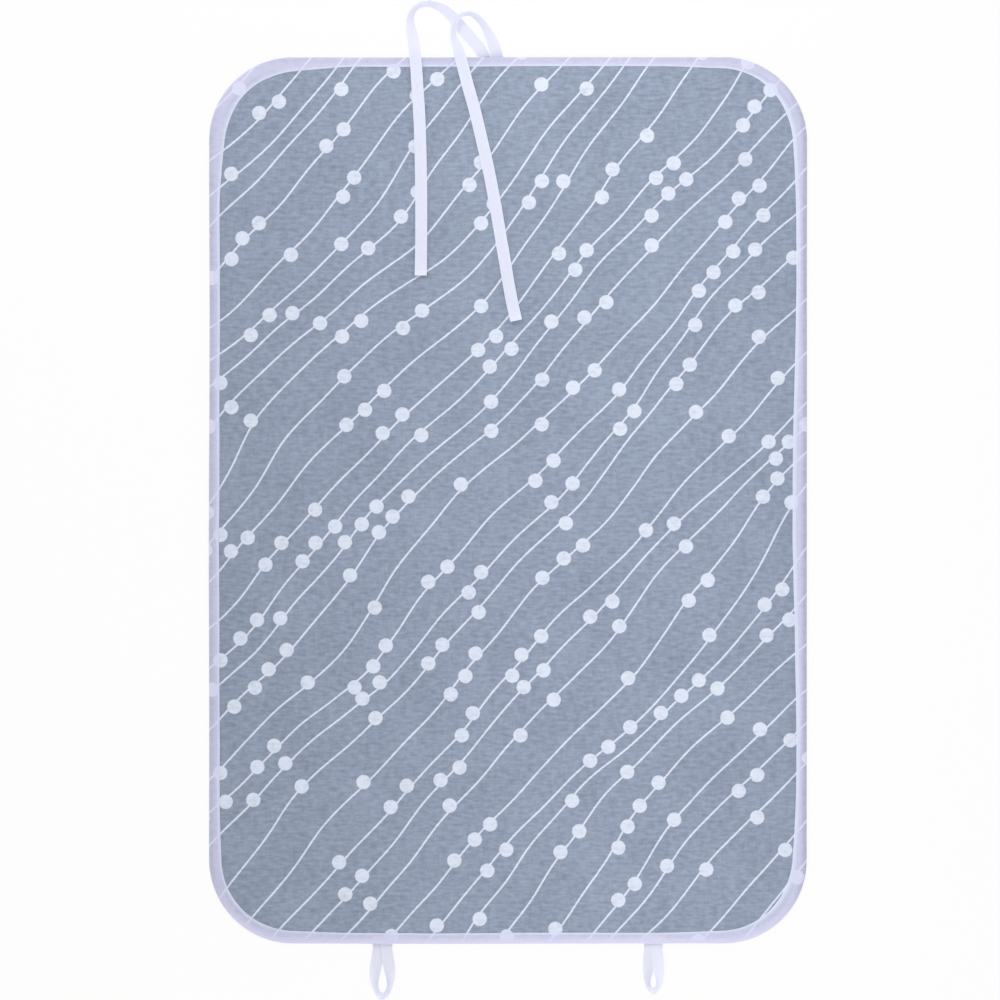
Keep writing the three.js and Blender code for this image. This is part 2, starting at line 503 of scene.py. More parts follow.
def draw_print(nodes: Nodes, given: bpy.types.NodeOutputs, result: bpy.types.NodeInputs) -> None:
    """Draws the whole print: slanting wavy lines that never cross, with dots.

    Args:
        nodes: The group's node maker.
        given: The place in the pad's frame.
        result: The mask of the ink.
    """
    x, y = nodes.millimetres(given["Place"])
    cosine, sine = math.cos(PRINT.slant), math.sin(PRINT.slant)
    along = nodes.math("ADD", nodes.math("MULTIPLY", x, cosine), nodes.math("MULTIPLY", y, sine))
    across = nodes.math("SUBTRACT", nodes.math("MULTIPLY", y, cosine), nodes.math("MULTIPLY", x, sine))
    line = nodes.math("DIVIDE", across, PRINT.spacing)
    for _ in range(PRINT.passes):
        strayed = nodes.math("SUBTRACT", across, SWAY.put(nodes, line, along)[0])
        line = nodes.math("DIVIDE", strayed, PRINT.spacing)
    lower = nodes.math("FLOOR", line)
    upper = nodes.math("ADD", lower, 1.0)
    uneven = nodes.noise(nodes.join(x, y), scale=PRINT.uneven_scale, detail=1.0)
    uneven = nodes.about_zero(uneven, PRINT.uneven)
    first = LINE.put(nodes, lower, across, along, uneven)["Ink"]
    second = LINE.put(nodes, upper, across, along, uneven)["Ink"]
    nodes.feed(result["Ink"], nodes.math("MAXIMUM", first, second))


WAVY_PRINT = SharedEffect("wavy_print", {"Place": "Vector"}, {"Ink": "Float"}, draw_print)


@dataclass(frozen=True)
class WeaveLayout:
    """Sizes of a plain weave's thick and thin yarns, in millimetres, and how strongly each shows."""

    weft_size: tuple[float, float] = (10.0, 3.0)
    weft_weight: float = 1.15
    warp_size: tuple[float, float] = (2.3, 11.0)
    warp_weight: float = 0.35
    mottle_size: float = 6.0
    mottle_weight: float = 0.6
    cloud_size: float = 60.0
    cloud_weight: float = 0.4
    crossing: float = 0.15
    slub: float = 0.5


WEAVE = WeaveLayout()


def yarns(nodes: Nodes, x: Feed, y: Feed, size: tuple[float, float], detail: float) -> bpy.types.NodeSocket:
    """Draws the unevenness of yarns that run one way.

    Args:
        nodes: The group's node maker.
        x: The place across, in millimetres.
        y: The place along, in millimetres.
        size: How far the unevenness reaches each way.
        detail: How many finer layers it has.

    Returns:
        Values about 0.5.
    """
    spot = nodes.join(nodes.math("DIVIDE", x, size[0]), nodes.math("DIVIDE", y, size[1]))
    return nodes.noise(spot, detail=detail)


def draw_weave(nodes: Nodes, given: bpy.types.NodeOutputs, result: bpy.types.NodeInputs) -> None:
    """Draws a plain weave with thick and thin yarns.

    Args:
        nodes: The group's node maker.
        given: The place in the pad's frame, and the yarns' spacing in millimetres.
        result: The yarns' shade about 0.5, and the weave's height.
    """
    x, y = nodes.millimetres(given["Place"])
    weft = yarns(nodes, x, y, WEAVE.weft_size, 4.0)
    warp = yarns(nodes, x, y, WEAVE.warp_size, 2.0)
    mottle = nodes.noise(nodes.join(x, y), scale=1 / WEAVE.mottle_size, detail=3.0)
    cloudy = nodes.noise(nodes.join(x, y), scale=1 / WEAVE.cloud_size, detail=2.0)
    shade = 0.5
    for part, weight in (
        (weft, WEAVE.weft_weight),
        (warp, WEAVE.warp_weight),
        (mottle, WEAVE.mottle_weight),
        (cloudy, WEAVE.cloud_weight),
    ):
        shade = nodes.math("ADD", nodes.about_zero(part, weight), shade)
    nodes.feed(result["Shade"], shade)

    turn = nodes.math("DIVIDE", math.pi, given["Yarn"])
    over = nodes.math("SINE", nodes.math("MULTIPLY", x, turn))
    under = nodes.math("SINE", nodes.math("MULTIPLY", y, turn))
    crossing = nodes.math("MULTIPLY", nodes.math("MULTIPLY", over, under), WEAVE.crossing)
    slub = nodes.math("MULTIPLY", nodes.math("ADD", weft, warp), WEAVE.slub)
    nodes.feed(result["Height"], nodes.math("ADD", crossing, slub))


PLAIN_WEAVE = SharedEffect(
    "plain_weave",
    {"Place": "Vector", "Yarn": "Float"},
    {"Shade": "Float", "Height": "Float"},
    draw_weave,
)


@dataclass(frozen=True)
class Finish:
    """A surface with a shader of its own."""

    name: str

    def material(self) -> bpy.types.Material:
        """Finds the material, or makes it the first time.

        Returns:
            The material.
        """
        found = bpy.data.materials.get(self.name)
        if found:
            return found
        made = bpy.data.materials.new(self.name)
        made.use_nodes = True
        self.dress(Nodes(made.node_tree), made.node_tree.nodes["Principled BSDF"].inputs)
        return made

    def dress(self, nodes: Nodes, shader: bpy.types.NodeInputs) -> None:
        """Feeds the shader.

        Args:
            nodes: The material's node maker.
            shader: The Principled shader's inputs.
        """
        raise NotImplementedError


@dataclass(frozen=True)
class WovenFinish(Finish):
    """A woven surface, rougher in its hollows than on its crests."""

    hollow_roughness: float = 0.92
    crest_roughness: float = 0.8
    relief: float = 0.0003
    relief_strength: float = 0.1
    specular: float = 0.25
    sheen: float = 0.08

    def weave(self, nodes: Nodes, shader: bpy.types.NodeInputs, colour: Feed, height: Feed) -> None:
        """Feeds the shader with a colour and a woven relief.

        Args:
            nodes: The material's node maker.
            shader: The Principled shader's inputs.
            colour: The colour.
            height: The weave's height, from 0.2 in its hollows to 0.9 on its crests.
        """
        roughness = nodes.ramp(height, 0.2, 0.9, self.hollow_roughness, self.crest_roughness)
        nodes.feed(shader["Base Color"], colour)
        nodes.feed(shader["Roughness"], roughness)
        nodes.feed(shader["Normal"], nodes.bump(height, self.relief, self.relief_strength))
        shader["Specular IOR Level"].default_value = self.specular
        shader["Sheen Weight"].default_value = self.sheen


@dataclass(frozen=True)
class PrintedCotton(WovenFinish):
    """The face cloth: blue-grey cotton with a white print."""

    dark: Colour = tint(132, 143, 163)
    light: Colour = tint(166, 178, 200)
    ink: Colour = tint(229, 236, 252)
    ink_cover: float = 0.95
    cover_play: float = 0.5
    yarn: float = 0.8

    def cloth(self, nodes: Nodes, place: Feed, shade: Feed) -> bpy.types.NodeSocket:
        """Mixes the cloth's own colour and its print.

        Args:
            nodes: The material's node maker.
            place: The place in the pad's frame.
            shade: The yarns' shade.

        Returns:
            The printed colour.
        """
        ground = nodes.mix(shade, self.dark, self.light)
        cover = nodes.math("ADD", nodes.about_zero(shade, self.cover_play), self.ink_cover)
        printed = nodes.math("MULTIPLY", WAVY_PRINT.put(nodes, place)["Ink"], cover)
        return nodes.mix(printed, ground, self.ink)

    def dress(self, nodes: Nodes, shader: bpy.types.NodeInputs) -> None:
        """Feeds the shader with the printed weave.

        Args:
            nodes: The material's node maker.
            shader: The Principled shader's inputs.
        """
        place = nodes.place()
        weave = PLAIN_WEAVE.put(nodes, place, self.yarn)
        self.weave(nodes, shader, self.cloth(nodes, place, weave["Shade"]), weave["Height"])


@dataclass(frozen=True)
class ThinStrip(WovenFinish):
    """The binding: thin white cotton that lets the print show through."""

    hollow_roughness: float = 0.88
    crest_roughness: float = 0.74
    relief: float = 0.0002
    relief_strength: float = 0.3
    sheen: float = 0.1
    face: PrintedCotton = PrintedCotton("printed_cotton")
    white: Colour = tint(224, 223, 251)
    hem_white: Colour = tint(226, 231, 253)
    lining: Colour = tint(196, 198, 210)
    see_through: float = 0.25
    hem_see_through: float = 0.04
    # Strength of the thin attribute's see-through: painted rim and seam shade, and the whitening over the
    # loops.
    painted_shade_and_cover_gain: float = 0.5
    thick_yarn_cover: float = 0.1
    yarn: float = 0.55

    def dress(self, nodes: Nodes, shader: bpy.types.NodeInputs) -> None:
        """Feeds the shader with white over what lies beneath.

        Args:
            nodes: The material's node maker.
            shader: The Principled shader's inputs.
        """
        place = nodes.place()
        weave = PLAIN_WEAVE.put(nodes, place, self.yarn)
        beneath = self.face.cloth(nodes, place, weave["Shade"])
        beneath = nodes.mix(nodes.attribute("front"), self.lining, beneath)
        hem = nodes.attribute("hem")
        share = nodes.ramp(hem, 0.0, 1.0, self.see_through, self.hem_see_through)
        # The thin attribute carries painted rim and seam shade, shown as extra see-through, and the
        # whitening where the loops are sewn in.
        worn = nodes.math("MULTIPLY", nodes.attribute("thin"), self.painted_shade_and_cover_gain)
        share = nodes.math("ADD", share, worn)
        share = nodes.math("ADD", share, nodes.about_zero(weave["Shade"], -self.thick_yarn_cover))
        share = nodes.math("MAXIMUM", share, 0.0)
        strip = nodes.mix(hem, self.white, self.hem_white)
        self.weave(nodes, shader, nodes.mix(share, strip, beneath), weave["Height"])


@dataclass(frozen=True)
class TwillTape(WovenFinish):
    """The ties and loops: white twill tape with a firm edge."""

    hollow_roughness: float = 0.9
    crest_roughness: float = 0.72
    relief: float = 0.00018
    relief_strength: float = 0.3
    sheen: float = 0.12
    white: Colour = tint(238, 241, 254)
    # Colour of the ribs' furrows: painted shade, with random fibre tone.
    furrow_shade_and_fibre_tone: Colour = tint(221, 224, 247)
    # Painted light: the tapes turn this paler colour over the white table and along the loops, as if lit
    # through by it, and where a tie's end is turned under.
    pale: Colour = tint(240, 241, 255)
    rib: float = 0.00135
    fibre_length: float = 160.0
    fibre_width: float = 2600.0
    edge_span: tuple[float, float] = (0.0050, 0.0055)

    def dress(self, nodes: Nodes, shader: bpy.types.NodeInputs) -> None:
        """Feeds the shader with slanting ribs that turn back at the middle.

        Args:
            nodes: The material's node maker.
            shader: The Principled shader's inputs.
        """
        along = nodes.attribute("along")
        across = nodes.attribute("across")
        slanted = nodes.math("ADD", along, nodes.math("ABSOLUTE", across))
        turn = nodes.math("MULTIPLY", slanted, 2 * math.pi / self.rib)
        lengthways = nodes.math("MULTIPLY", along, self.fibre_length)
        sideways = nodes.math("MULTIPLY", across, self.fibre_width)
        fibre = nodes.noise(nodes.join(lengthways, sideways), detail=3.0)
        wave = nodes.scaled(nodes.math("SINE", turn), 0.3, 0.5)
        edge = nodes.ramp(nodes.math("ABSOLUTE", across), *self.edge_span)
        height = nodes.weighed((wave, 0.6), (fibre, 0.4), (edge, 0.2))
        # The colour follows the relief: painted shade in the ribs' furrows and a painted highlight on the
        # raised edges, with random fibre tone.
        colour = nodes.mix(nodes.ramp(height, 0.25, 0.75), self.furrow_shade_and_fibre_tone, self.white)
        self.weave(nodes, shader, nodes.mix(nodes.attribute("paleness"), colour, self.pale), height)


@dataclass(frozen=True)
class CoatedBacking(Finish):
    """The backing cloth: cotton with a silver-grey coating."""

    worn: Colour = tint(158, 162, 168)
    bright: Colour = tint(190, 194, 200)
    yarn: float = 0.9
    grain_scale: float = 2200.0
    rub_scale: float = 14.0

    def dress(self, nodes: Nodes, shader: bpy.types.NodeInputs) -> None:
        """Feeds the shader with a grained, slightly worn coating.

        Args:
            nodes: The material's node maker.
            shader: The Principled shader's inputs.
        """
        place = nodes.place()
        weave = PLAIN_WEAVE.put(nodes, place, self.yarn)
        grain = nodes.noise(place, scale=self.grain_scale, detail=1.0)
        rubbed = nodes.noise(place, scale=self.rub_scale, detail=4.0)
        shade = nodes.weighed((weave["Shade"], 0.5), (rubbed, 0.5))
        nodes.feed(shader["Base Color"], nodes.mix(shade, self.worn, self.bright))
        nodes.feed(shader["Metallic"], nodes.ramp(rubbed, 0.35, 0.65, 0.35, 0.55))
        nodes.feed(shader["Roughness"], nodes.ramp(grain, 0.3, 0.7, 0.42, 0.58))
        nodes.feed(shader["Normal"], nodes.bump(weave["Height"], 0.0003, 0.5))


@dataclass(frozen=True)
class NeedledFelt(Finish):
    """The filling: off-white felt."""

    dark: Colour = tint(206, 200, 186)
    light: Colour = tint(236, 232, 222)
    fibre_scale: float = 900.0

    def dress(self, nodes: Nodes, shader: bpy.types.NodeInputs) -> None:
        """Feeds the shader with matted fibres.

        Args:
            nodes: The material's node maker.
            shader: The Principled shader's inputs.
        """
        fibres = nodes.noise(nodes.place(), scale=self.fibre_scale, detail=6.0)
        nodes.feed(shader["Base Color"], nodes.mix(nodes.ramp(fibres, 0.3, 0.7), self.dark, self.light))
        nodes.feed(shader["Roughness"], nodes.ramp(fibres, 0.2, 0.8, 1.0, 0.85))
        nodes.feed(shader["Normal"], nodes.bump(fibres, 0.0006, 0.6))
        shader["Sheen Weight"].default_value = 0.3


@dataclass(frozen=True)
class SewingThread(Finish):
    """The seams: white twisted thread."""

    white: Colour = tint(238, 240, 252)
    shadow: Colour = tint(206, 208, 226)
    twist: float = 0.0006

    def dress(self, nodes: Nodes, shader: bpy.types.NodeInputs) -> None:
        """Feeds the shader with the thread's twist.

        Args:
            nodes: The material's node maker.
            shader: The Principled shader's inputs.
        """
        x, y, z = nodes.split(nodes.place())
        turned = nodes.math("ADD", nodes.math("ADD", x, y), z)
        twist = nodes.math("SINE", nodes.math("MULTIPLY", turned, 2 * math.pi / self.twist))
        lit = nodes.scaled(twist, 0.4, 0.5)
        nodes.feed(shader["Base Color"], nodes.mix(lit, self.shadow, self.white))
        nodes.feed(shader["Roughness"], nodes.ramp(lit, 0.0, 1.0, 0.7, 0.5))
        nodes.feed(shader["Normal"], nodes.bump(lit, 0.0001, 0.4))


FACE_FINISH = PrintedCotton("printed_cotton")
BINDING_FINISH = ThinStrip("thin_strip")
TAPE_FINISH = TwillTape("twill_tape")
BACKING_FINISH = CoatedBacking("coated_backing")
FELT_FINISH = NeedledFelt("needled_felt")
THREAD_FINISH = SewingThread("sewing_thread")


def new_piece(name: str, bm: BMesh, finish: Finish) -> bpy.types.Object:
    """Makes an object of a finished mesh.

    Args:
        name: The piece's name.
        bm: The mesh, which is freed.
        finish: Its finish.

    Returns:
        The new object.
    """
    mesh = bpy.data.meshes.new(name)
    bm.to_mesh(mesh)
    bm.free()
    mesh.materials.append(finish.material())
    mesh.shade_smooth()
    piece = bpy.data.objects.new(name, mesh)
    bpy.context.scene.collection.objects.link(piece)
    return piece


def thicken(piece: bpy.types.Object, thickness: float) -> None:
    """Gives a sheet its thickness, inwards from the side that shows.

    Args:
        piece: The sheet.
        thickness: Its thickness in metres.
    """
    wall = piece.modifiers.new("cloth_thickness", "SOLIDIFY")
    wall.thickness = thickness
    wall.offset = -1.0


def settle(bm: BMesh) -> None:
    """Puts the faces in one order on every run, because an extrusion lists them as they lie in memory.

    Args:
        bm: The mesh.
    """
    placed = sorted(bm.faces, key=lambda face: face.calc_center_median()[:])
    ranks = {face: rank for rank, face in enumerate(placed)}
    bm.faces.sort(key=ranks.__getitem__)


def sweep(bm: BMesh, rings: Sequence[Sequence[Vector]], capped: bool) -> list[list[BMVert]]:
    """Extrudes a closed ring of edges from place to place.

    Args:
        bm: The mesh that it goes into.
        rings: The ring's points at each place.
        capped: Whether the first and last ring are closed by a face.

    Returns:
        The rings' vertices.
    """
    ring = [bm.verts.new(point) for point in rings[0]]
    first = [bm.edges.new(pair) for pair in zip(ring, ring[1:] + ring[:1])]
    edges: list[BMEdge] = first
    made = [ring]
    for points in rings[1:]:
        fresh = set(bmesh.ops.extrude_edge_only(bm, edges=edges)["geom"])
        ring = [next(o for e in v.link_edges if (o := e.other_vert(v)) in fresh) for v in ring]
        for vert, point in zip(ring, points):
            vert.co = point
        edges = [bm.edges.get(pair) for pair in zip(ring, ring[1:] + ring[:1])]
        made.append(ring)
    if capped:
        bmesh.ops.contextual_create(bm, geom=first)
        bmesh.ops.contextual_create(bm, geom=edges)
    bmesh.ops.recalc_face_normals(bm, faces=bm.faces[:])
    settle(bm)
    return made


class Station(NamedTuple):
    """A place on the pad's outline, the way in from it, and how far round it lies."""

    edge: Vector
    inwards: Vector
    around: float


@dataclass(frozen=True)
class PadOutline:
    """The pad's outline, and how its layers lie near the edge."""

    width: float = 0.600
    length: float = 0.890
    corner: float = 0.084
    middle_height: float = 0.0036
    corner_step: float = 0.0028
    side_step: float = 0.007
    edge_step: float = 0.0045
    corner_segments: int = 36
    cover_span: tuple[float, float] = (0.03, 0.13)
    upper_left_cover: float = 0.0072
    upper_right_cover: float = 0.0028
    lower_left_cover: float = 0.0025
    lower_right_cover: float = 0.0032
    right_sway: float = 0.0020
    right_wave: float = 0.50

    def inset(self, x: float, y: float) -> float:
        """Measures how far a point lies in from the outline.

        Args:
            x: Across the pad.
            y: Along the pad.

        Returns:
            The distance, which is negative outside.
        """
        across = abs(x) - (self.width / 2 - self.corner)
        along = abs(y) - (self.length / 2 - self.corner)
        outside = math.hypot(max(across, 0.0), max(along, 0.0))
        return self.corner - outside - min(max(across, along), 0.0)

    def side(self, x: float, y: float) -> Vector:
        """Gives the way out to the nearest side.

        Args:
            x: Across the pad.
            y: Along the pad.

        Returns:
            A unit vector in the plane.
        """
        across = abs(x) - (self.width / 2 - self.corner)
        along = abs(y) - (self.length / 2 - self.corner)
        if across > 0 and along > 0:
            return Vector((math.copysign(across, x), math.copysign(along, y))).normalized()
        if across > along:
            return Vector((math.copysign(1.0, x), 0.0))
        return Vector((0.0, math.copysign(1.0, y)))

    def cover(self, x: float, y: float) -> float:
        """Measures how much further in than usual the binding's front reaches.

        Args:
            x: Across the pad.
            y: Along the pad.

        Returns:
            The extra width, largest at the corners.
        """
        bow = self.corner * (1 - math.sqrt(0.5))
        off_corner = math.hypot(self.width / 2 - bow - abs(x), self.length / 2 - bow - abs(y))
        if y > 0:
            extra = self.upper_left_cover if x < 0 else self.upper_right_cover
        else:
            extra = self.lower_left_cover if x < 0 else self.lower_right_cover
        sway = self.right_sway * math.cos(2 * math.pi * y / self.right_wave)
        on_right = max(self.side(x, y).x, 0.0) ** 2
        return extra * (1 - smoothstep(off_corner, *self.cover_span)) + sway * on_right

    def stations(self) -> list[Station]:
        """Walks round the outline, finer at the corners.

        Returns:
            The places in order, anticlockwise from the right side's upper end.
        """
        places: list[Station] = []
        around = 0.0
        straight = (self.width - 2 * self.corner, self.length - 2 * self.corner)
        for quarter in range(4):
            start = quarter * math.pi / 2
            right = 1 if quarter in (0, 3) else -1
            upper = 1 if quarter in (0, 1) else -1
            middle = Vector((right * straight[0] / 2, upper * straight[1] / 2, 0.0))
            steps = round(self.corner * math.pi / 2 / self.corner_step)
            for step in range(steps):
                angle = start + math.pi / 2 * step / steps
                out = Vector((math.cos(angle), math.sin(angle), 0.0))
                places.append(Station(middle + out * self.corner, -out, around))
                around += self.corner * math.pi / 2 / steps
            out = Vector((math.cos(start + math.pi / 2), math.sin(start + math.pi / 2), 0.0))
            run = straight[quarter % 2]
            ahead = Vector((-out.y, out.x, 0.0))
            steps = round(run / self.side_step)
            for step in range(steps):
                places.append(Station(middle + out * self.corner + ahead * run * step / steps, -out, around))
                around += run / steps
        return places

    def sheet(self, bm: BMesh, start: float, rings: Sequence[float], cell: float) -> None:
        """Lays a flat sheet with rings along its edge and a grid in its middle.

        Args:
            bm: The mesh that it goes into.
            start: How far in from the outline it ends.
            rings: The widths of its rings from the edge inwards.
            cell: The grid's spacing.
        """
        half = (self.width / 2 - start, self.length / 2 - start)
        signs = ((1, 1), (-1, 1), (-1, -1), (1, -1))
        corners = [bm.verts.new((half[0] * i, half[1] * j, 0.0)) for i, j in signs]
        bm.faces.new(corners)
        radius = self.corner - start
        bmesh.ops.bevel(
            bm, geom=corners, offset=radius, offset_type="OFFSET", segments=self.corner_segments,
            profile=0.5, affect="VERTICES", material=-1, clamp_overlap=False,
        )
        for edge in [e for e in bm.edges if e.calc_length() > 2 * self.side_step]:
            cuts = round(edge.calc_length() / self.edge_step) - 1
            bmesh.ops.subdivide_edges(bm, edges=[edge], cuts=cuts)
        middle: BMFace = bm.faces[:][0]
        for width in rings:
            bmesh.ops.inset_region(bm, faces=[middle], thickness=width, use_even_offset=True)
        part: list[BMVert | BMEdge | BMFace] = [middle, *middle.edges, *middle.verts]
        for axis in (0, 1):
            normal = Vector((1.0 - axis, float(axis), 0.0))
            count = math.floor(half[axis] / cell)
            for step in range(-count, count + 1):
                cut = bmesh.ops.bisect_plane(
                    bm, geom=part, dist=TINY, plane_co=normal * cell * step, plane_no=normal
                )
                part = cut["geom"]


OUTLINE = PadOutline()


@dataclass
class FaceCloth:
    """The printed cloth on top, drawn down where it runs under the binding."""

    start: float = 0.0042
    edge_height: float = 0.0056
    dip: float = 0.00055
    dip_span: tuple[float, float] = (0.0100, 0.0155)
    crown: float = 0.00085
    crown_span: tuple[float, float] = (0.0120, 0.0370)
    thickness: float = 0.00045
    cell: float = 0.010
    rings: tuple[float, ...] = (0.0035, 0.0025, 0.0015, 0.0015, 0.0020, 0.0030, 0.0040, 0.0060, 0.0090)
    creases: tuple[float, ...] = (0.288, -0.344)
    crease_depth: float = 0.00016
    crease_width: float = 0.0022
    crease_cuts: tuple[float, ...] = (-0.004, -0.002, 0.0, 0.002, 0.004)
    pucker: float = 0.00028
    pucker_pitch: float = 0.019
    pucker_drift: float = 0.080
    pucker_span: tuple[float, float] = (0.0080, 0.0115)
    pucker_fade: float = 0.012
    loose_span: tuple[float, float] = (0.020, 0.060)
    swell: float = 0.00022
    swell_size: float = 0.085
    ripple: float = 0.00010
    ripple_size: tuple[float, float] = (0.030, 0.034)
    seam_span: tuple[float, float] = (0.0115, 0.0150)
    slack: float = 0.003
    stiffness: float = 0.05
    felt_hold: float = 0.5
    furthest: float = 0.0006
    ironed: float = 0.00014
    steps: int = 24

    def clear(self, x: float, y: float) -> float:
        """Measures how far in a point lies, as if the binding had one width.

        Args:
            x: Across the pad.
            y: Along the pad.

        Returns:
            The distance from the outline, less what the binding covers more than usual.
        """
        return OUTLINE.inset(x, y) - OUTLINE.cover(x, y)

    def level(self, x: float, y: float) -> float:
        """Gives the height of a cloth with no unevenness.

        Args:
            x: Across the pad.
            y: Along the pad.

        Returns:
            The height in metres.
        """
        inset = self.clear(x, y)
        dip = self.dip * smoothstep(inset, *self.dip_span)
        return self.edge_height + dip + self.crown * smoothstep(inset, *self.crown_span)

    def ironed_flat(self, point: Vector) -> float:
        """Presses down what would stand above the level.

        Args:
            point: A point of the cloth.

        Returns:
            Its height once it is ironed.
        """
        level = self.level(point.x, point.y)
        bump = point.z - level
        return point.z if bump <= 0 else level + self.ironed * (1 - math.exp(-bump / self.ironed))

    def height(self, x: float, y: float) -> float:
        """Gives the cloth's height over the table as it is laid.

        Args:
            x: Across the pad.
            y: Along the pad.

        Returns:
            The height in metres.
        """
        inset = self.clear(x, y)
        height = self.level(x, y)
        out = OUTLINE.side(x, y)
        pull = smoothstep(inset, *self.pucker_span)
        pull *= math.exp(-max(inset - self.pucker_span[1], 0.0) / self.pucker_fade)
        upright = waver(y / self.pucker_pitch, x / self.pucker_drift, 1) * out.x**2
        level = waver(x / self.pucker_pitch, y / self.pucker_drift, 2) * out.y**2
        height += self.pucker * pull * (upright + level)
        loose = smoothstep(inset, *self.loose_span)
        swell = self.swell * waver(x / self.swell_size, y / self.swell_size, 3)
        ripple = self.ripple * waver(x / self.ripple_size[0], y / self.ripple_size[1], 4)
        height += loose * (swell + ripple)
        for crease in self.creases:
            height -= loose * self.crease_depth * math.exp(-(((y - crease) / self.crease_width) ** 2))
        return height

    def settle(self, piece: bpy.types.Object) -> None:
        """Lets the cloth ease into soft waves, held by its seam and borne by the felt.

        Args:
            piece: The cloth, as it was cut and laid.
        """
        held = piece.vertex_groups.new(name="held")
        rest = [vert.co.copy() for vert in piece.data.vertices]
        for index, point in enumerate(rest):
            sewn = 1 - smoothstep(self.clear(point.x, point.y), *self.seam_span)
            held.add([index], max(sewn, self.felt_hold), "REPLACE")
        cloth = piece.modifiers.new("settle", "CLOTH")
        cloth.settings.vertex_group_mass = held.name
        cloth.settings.shrink_min = -self.slack
        cloth.settings.bending_stiffness = self.stiffness
        cloth.settings.effector_weights.gravity = 0.0
        scene = bpy.context.scene
        for step in range(1, self.steps + 1):
            scene.frame_set(step)
        shape = piece.evaluated_get(bpy.context.evaluated_depsgraph_get()).data
        shifts = [after.co - before for after, before in zip(shape.vertices, rest)]
        piece.modifiers.remove(cloth)
        piece.vertex_groups.remove(held)
        scene.frame_set(1)
        for vert, before, shift in zip(piece.data.vertices, rest, shifts):
            vert.co = before + shift * min(1.0, self.furthest / max(shift.length, 1e-9))
        heights = [shift.z for shift in shifts]
        LOG.info("face cloth eased by %.2f to %.2f mm", 1000 * min(heights), 1000 * max(heights))

    def build(self) -> bpy.types.Object:
        """Builds and dresses the cloth.

        Returns:
            The face cloth.
        """
        bm = bmesh.new()
        OUTLINE.sheet(bm, self.start, self.rings, self.cell)
        for crease in self.creases:
            for offset in self.crease_cuts:
                whole = [*bm.verts, *bm.edges, *bm.faces]
                place = Vector((0.0, crease + offset, 0.0))
                bmesh.ops.bisect_plane(bm, geom=whole, dist=TINY, plane_co=place, plane_no=Vector((0, 1, 0)))
        for vert in bm.verts:
            vert.co.z = self.height(vert.co.x, vert.co.y)
        bmesh.ops.recalc_face_normals(bm, faces=bm.faces[:])
        piece = new_piece("face_cloth", bm, FACE_FINISH)
        self.settle(piece)
        for vert in piece.data.vertices:
            vert.co.z = self.ironed_flat(vert.co)
        thicken(piece, self.thickness)
        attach(piece, "pad")
        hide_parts("face_cover")
        return piece


@dataclass
class FeltPadding:
    """The filling, squeezed thin inside the binding."""

    start: float = 0.0020
    rings: tuple[float, ...] = (0.004, 0.005, 0.006, 0.007, 0.008, 0.010)
    cell: float = 0.060
    edge: tuple[float, float] = (0.0024, 0.0045)
    full: tuple[float, float] = (0.0008, 0.0053)
    shoulder: tuple[float, float] = (0.013, 0.037)

    def build(self) -> bpy.types.Object:
        """Builds and dresses the felt.

        Returns:
            The felt padding.
        """
        bm = bmesh.new()
        OUTLINE.sheet(bm, self.start, self.rings, self.cell)
        lower = bm.verts[:]
        grown = bmesh.ops.extrude_face_region(bm, geom=bm.faces[:])["geom"]
        upper = [part for part in grown if isinstance(part, BMVert)]
        for level, verts in enumerate((lower, upper)):
            for vert in verts:
                rise = smoothstep(OUTLINE.inset(vert.co.x, vert.co.y), *self.shoulder)
                vert.co.z = self.edge[level] + (self.full[level] - self.edge[level]) * rise
        bmesh.ops.recalc_face_normals(bm, faces=bm.faces[:])
        settle(bm)
        piece = new_piece("felt_filling", bm, FELT_FINISH)
        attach(piece, "pad")
        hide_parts("felt_padding")
        return piece


@dataclass
class BackingCloth:
    """The heat-reflecting cloth underneath."""

    start: float = 0.0042
    rings: tuple[float, ...] = (0.004, 0.003, 0.003, 0.004, 0.006, 0.008, 0.010)
    cell: float = 0.030
    edge_height: float = 0.0016
    thickness: float = 0.00045
    shoulder: tuple[float, float] = (0.011, 0.037)
    pucker: float = 0.0002
    pucker_pitch: float = 0.021
    pucker_span: tuple[float, float] = (0.010, 0.014)

    def build(self) -> bpy.types.Object:
        """Builds and dresses the cloth.

        Returns:
            The backing cloth.
        """
        bm = bmesh.new()
        OUTLINE.sheet(bm, self.start, self.rings, self.cell)
        for vert in bm.verts:
            x, y, _ = vert.co
            inset = OUTLINE.inset(x, y)
            flat = smoothstep(inset, *self.shoulder)
            drawn = waver(x / self.pucker_pitch, y / self.pucker_pitch, 5)
            drawn *= smoothstep(inset, *self.pucker_span) * (1 - flat)
            vert.co.z = self.edge_height * (1 - flat) + self.pucker * drawn
        bmesh.ops.recalc_face_normals(bm, faces=bm.faces[:])
        bmesh.ops.reverse_faces(bm, faces=[f for f in bm.faces if f.normal.z > 0])
        piece = new_piece("backing_cloth", bm, BACKING_FINISH)
        thicken(piece, self.thickness)
        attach(piece, "pad")
        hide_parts("backing_cover")
        return piece


class Flap(Enum):
    """The binding's two flaps, and which way each one faces."""

    FRONT = 1.0
    BACK = -1.0


class StripRow(NamedTuple):
    """A place on the binding's section: inset, height, and shares of hem, front and extra see-through, which
    carries painted rim and seam shade and the whitening over the loops.
    """

    inset: float
    height: float
    hem: float
    front: float
    thin: float


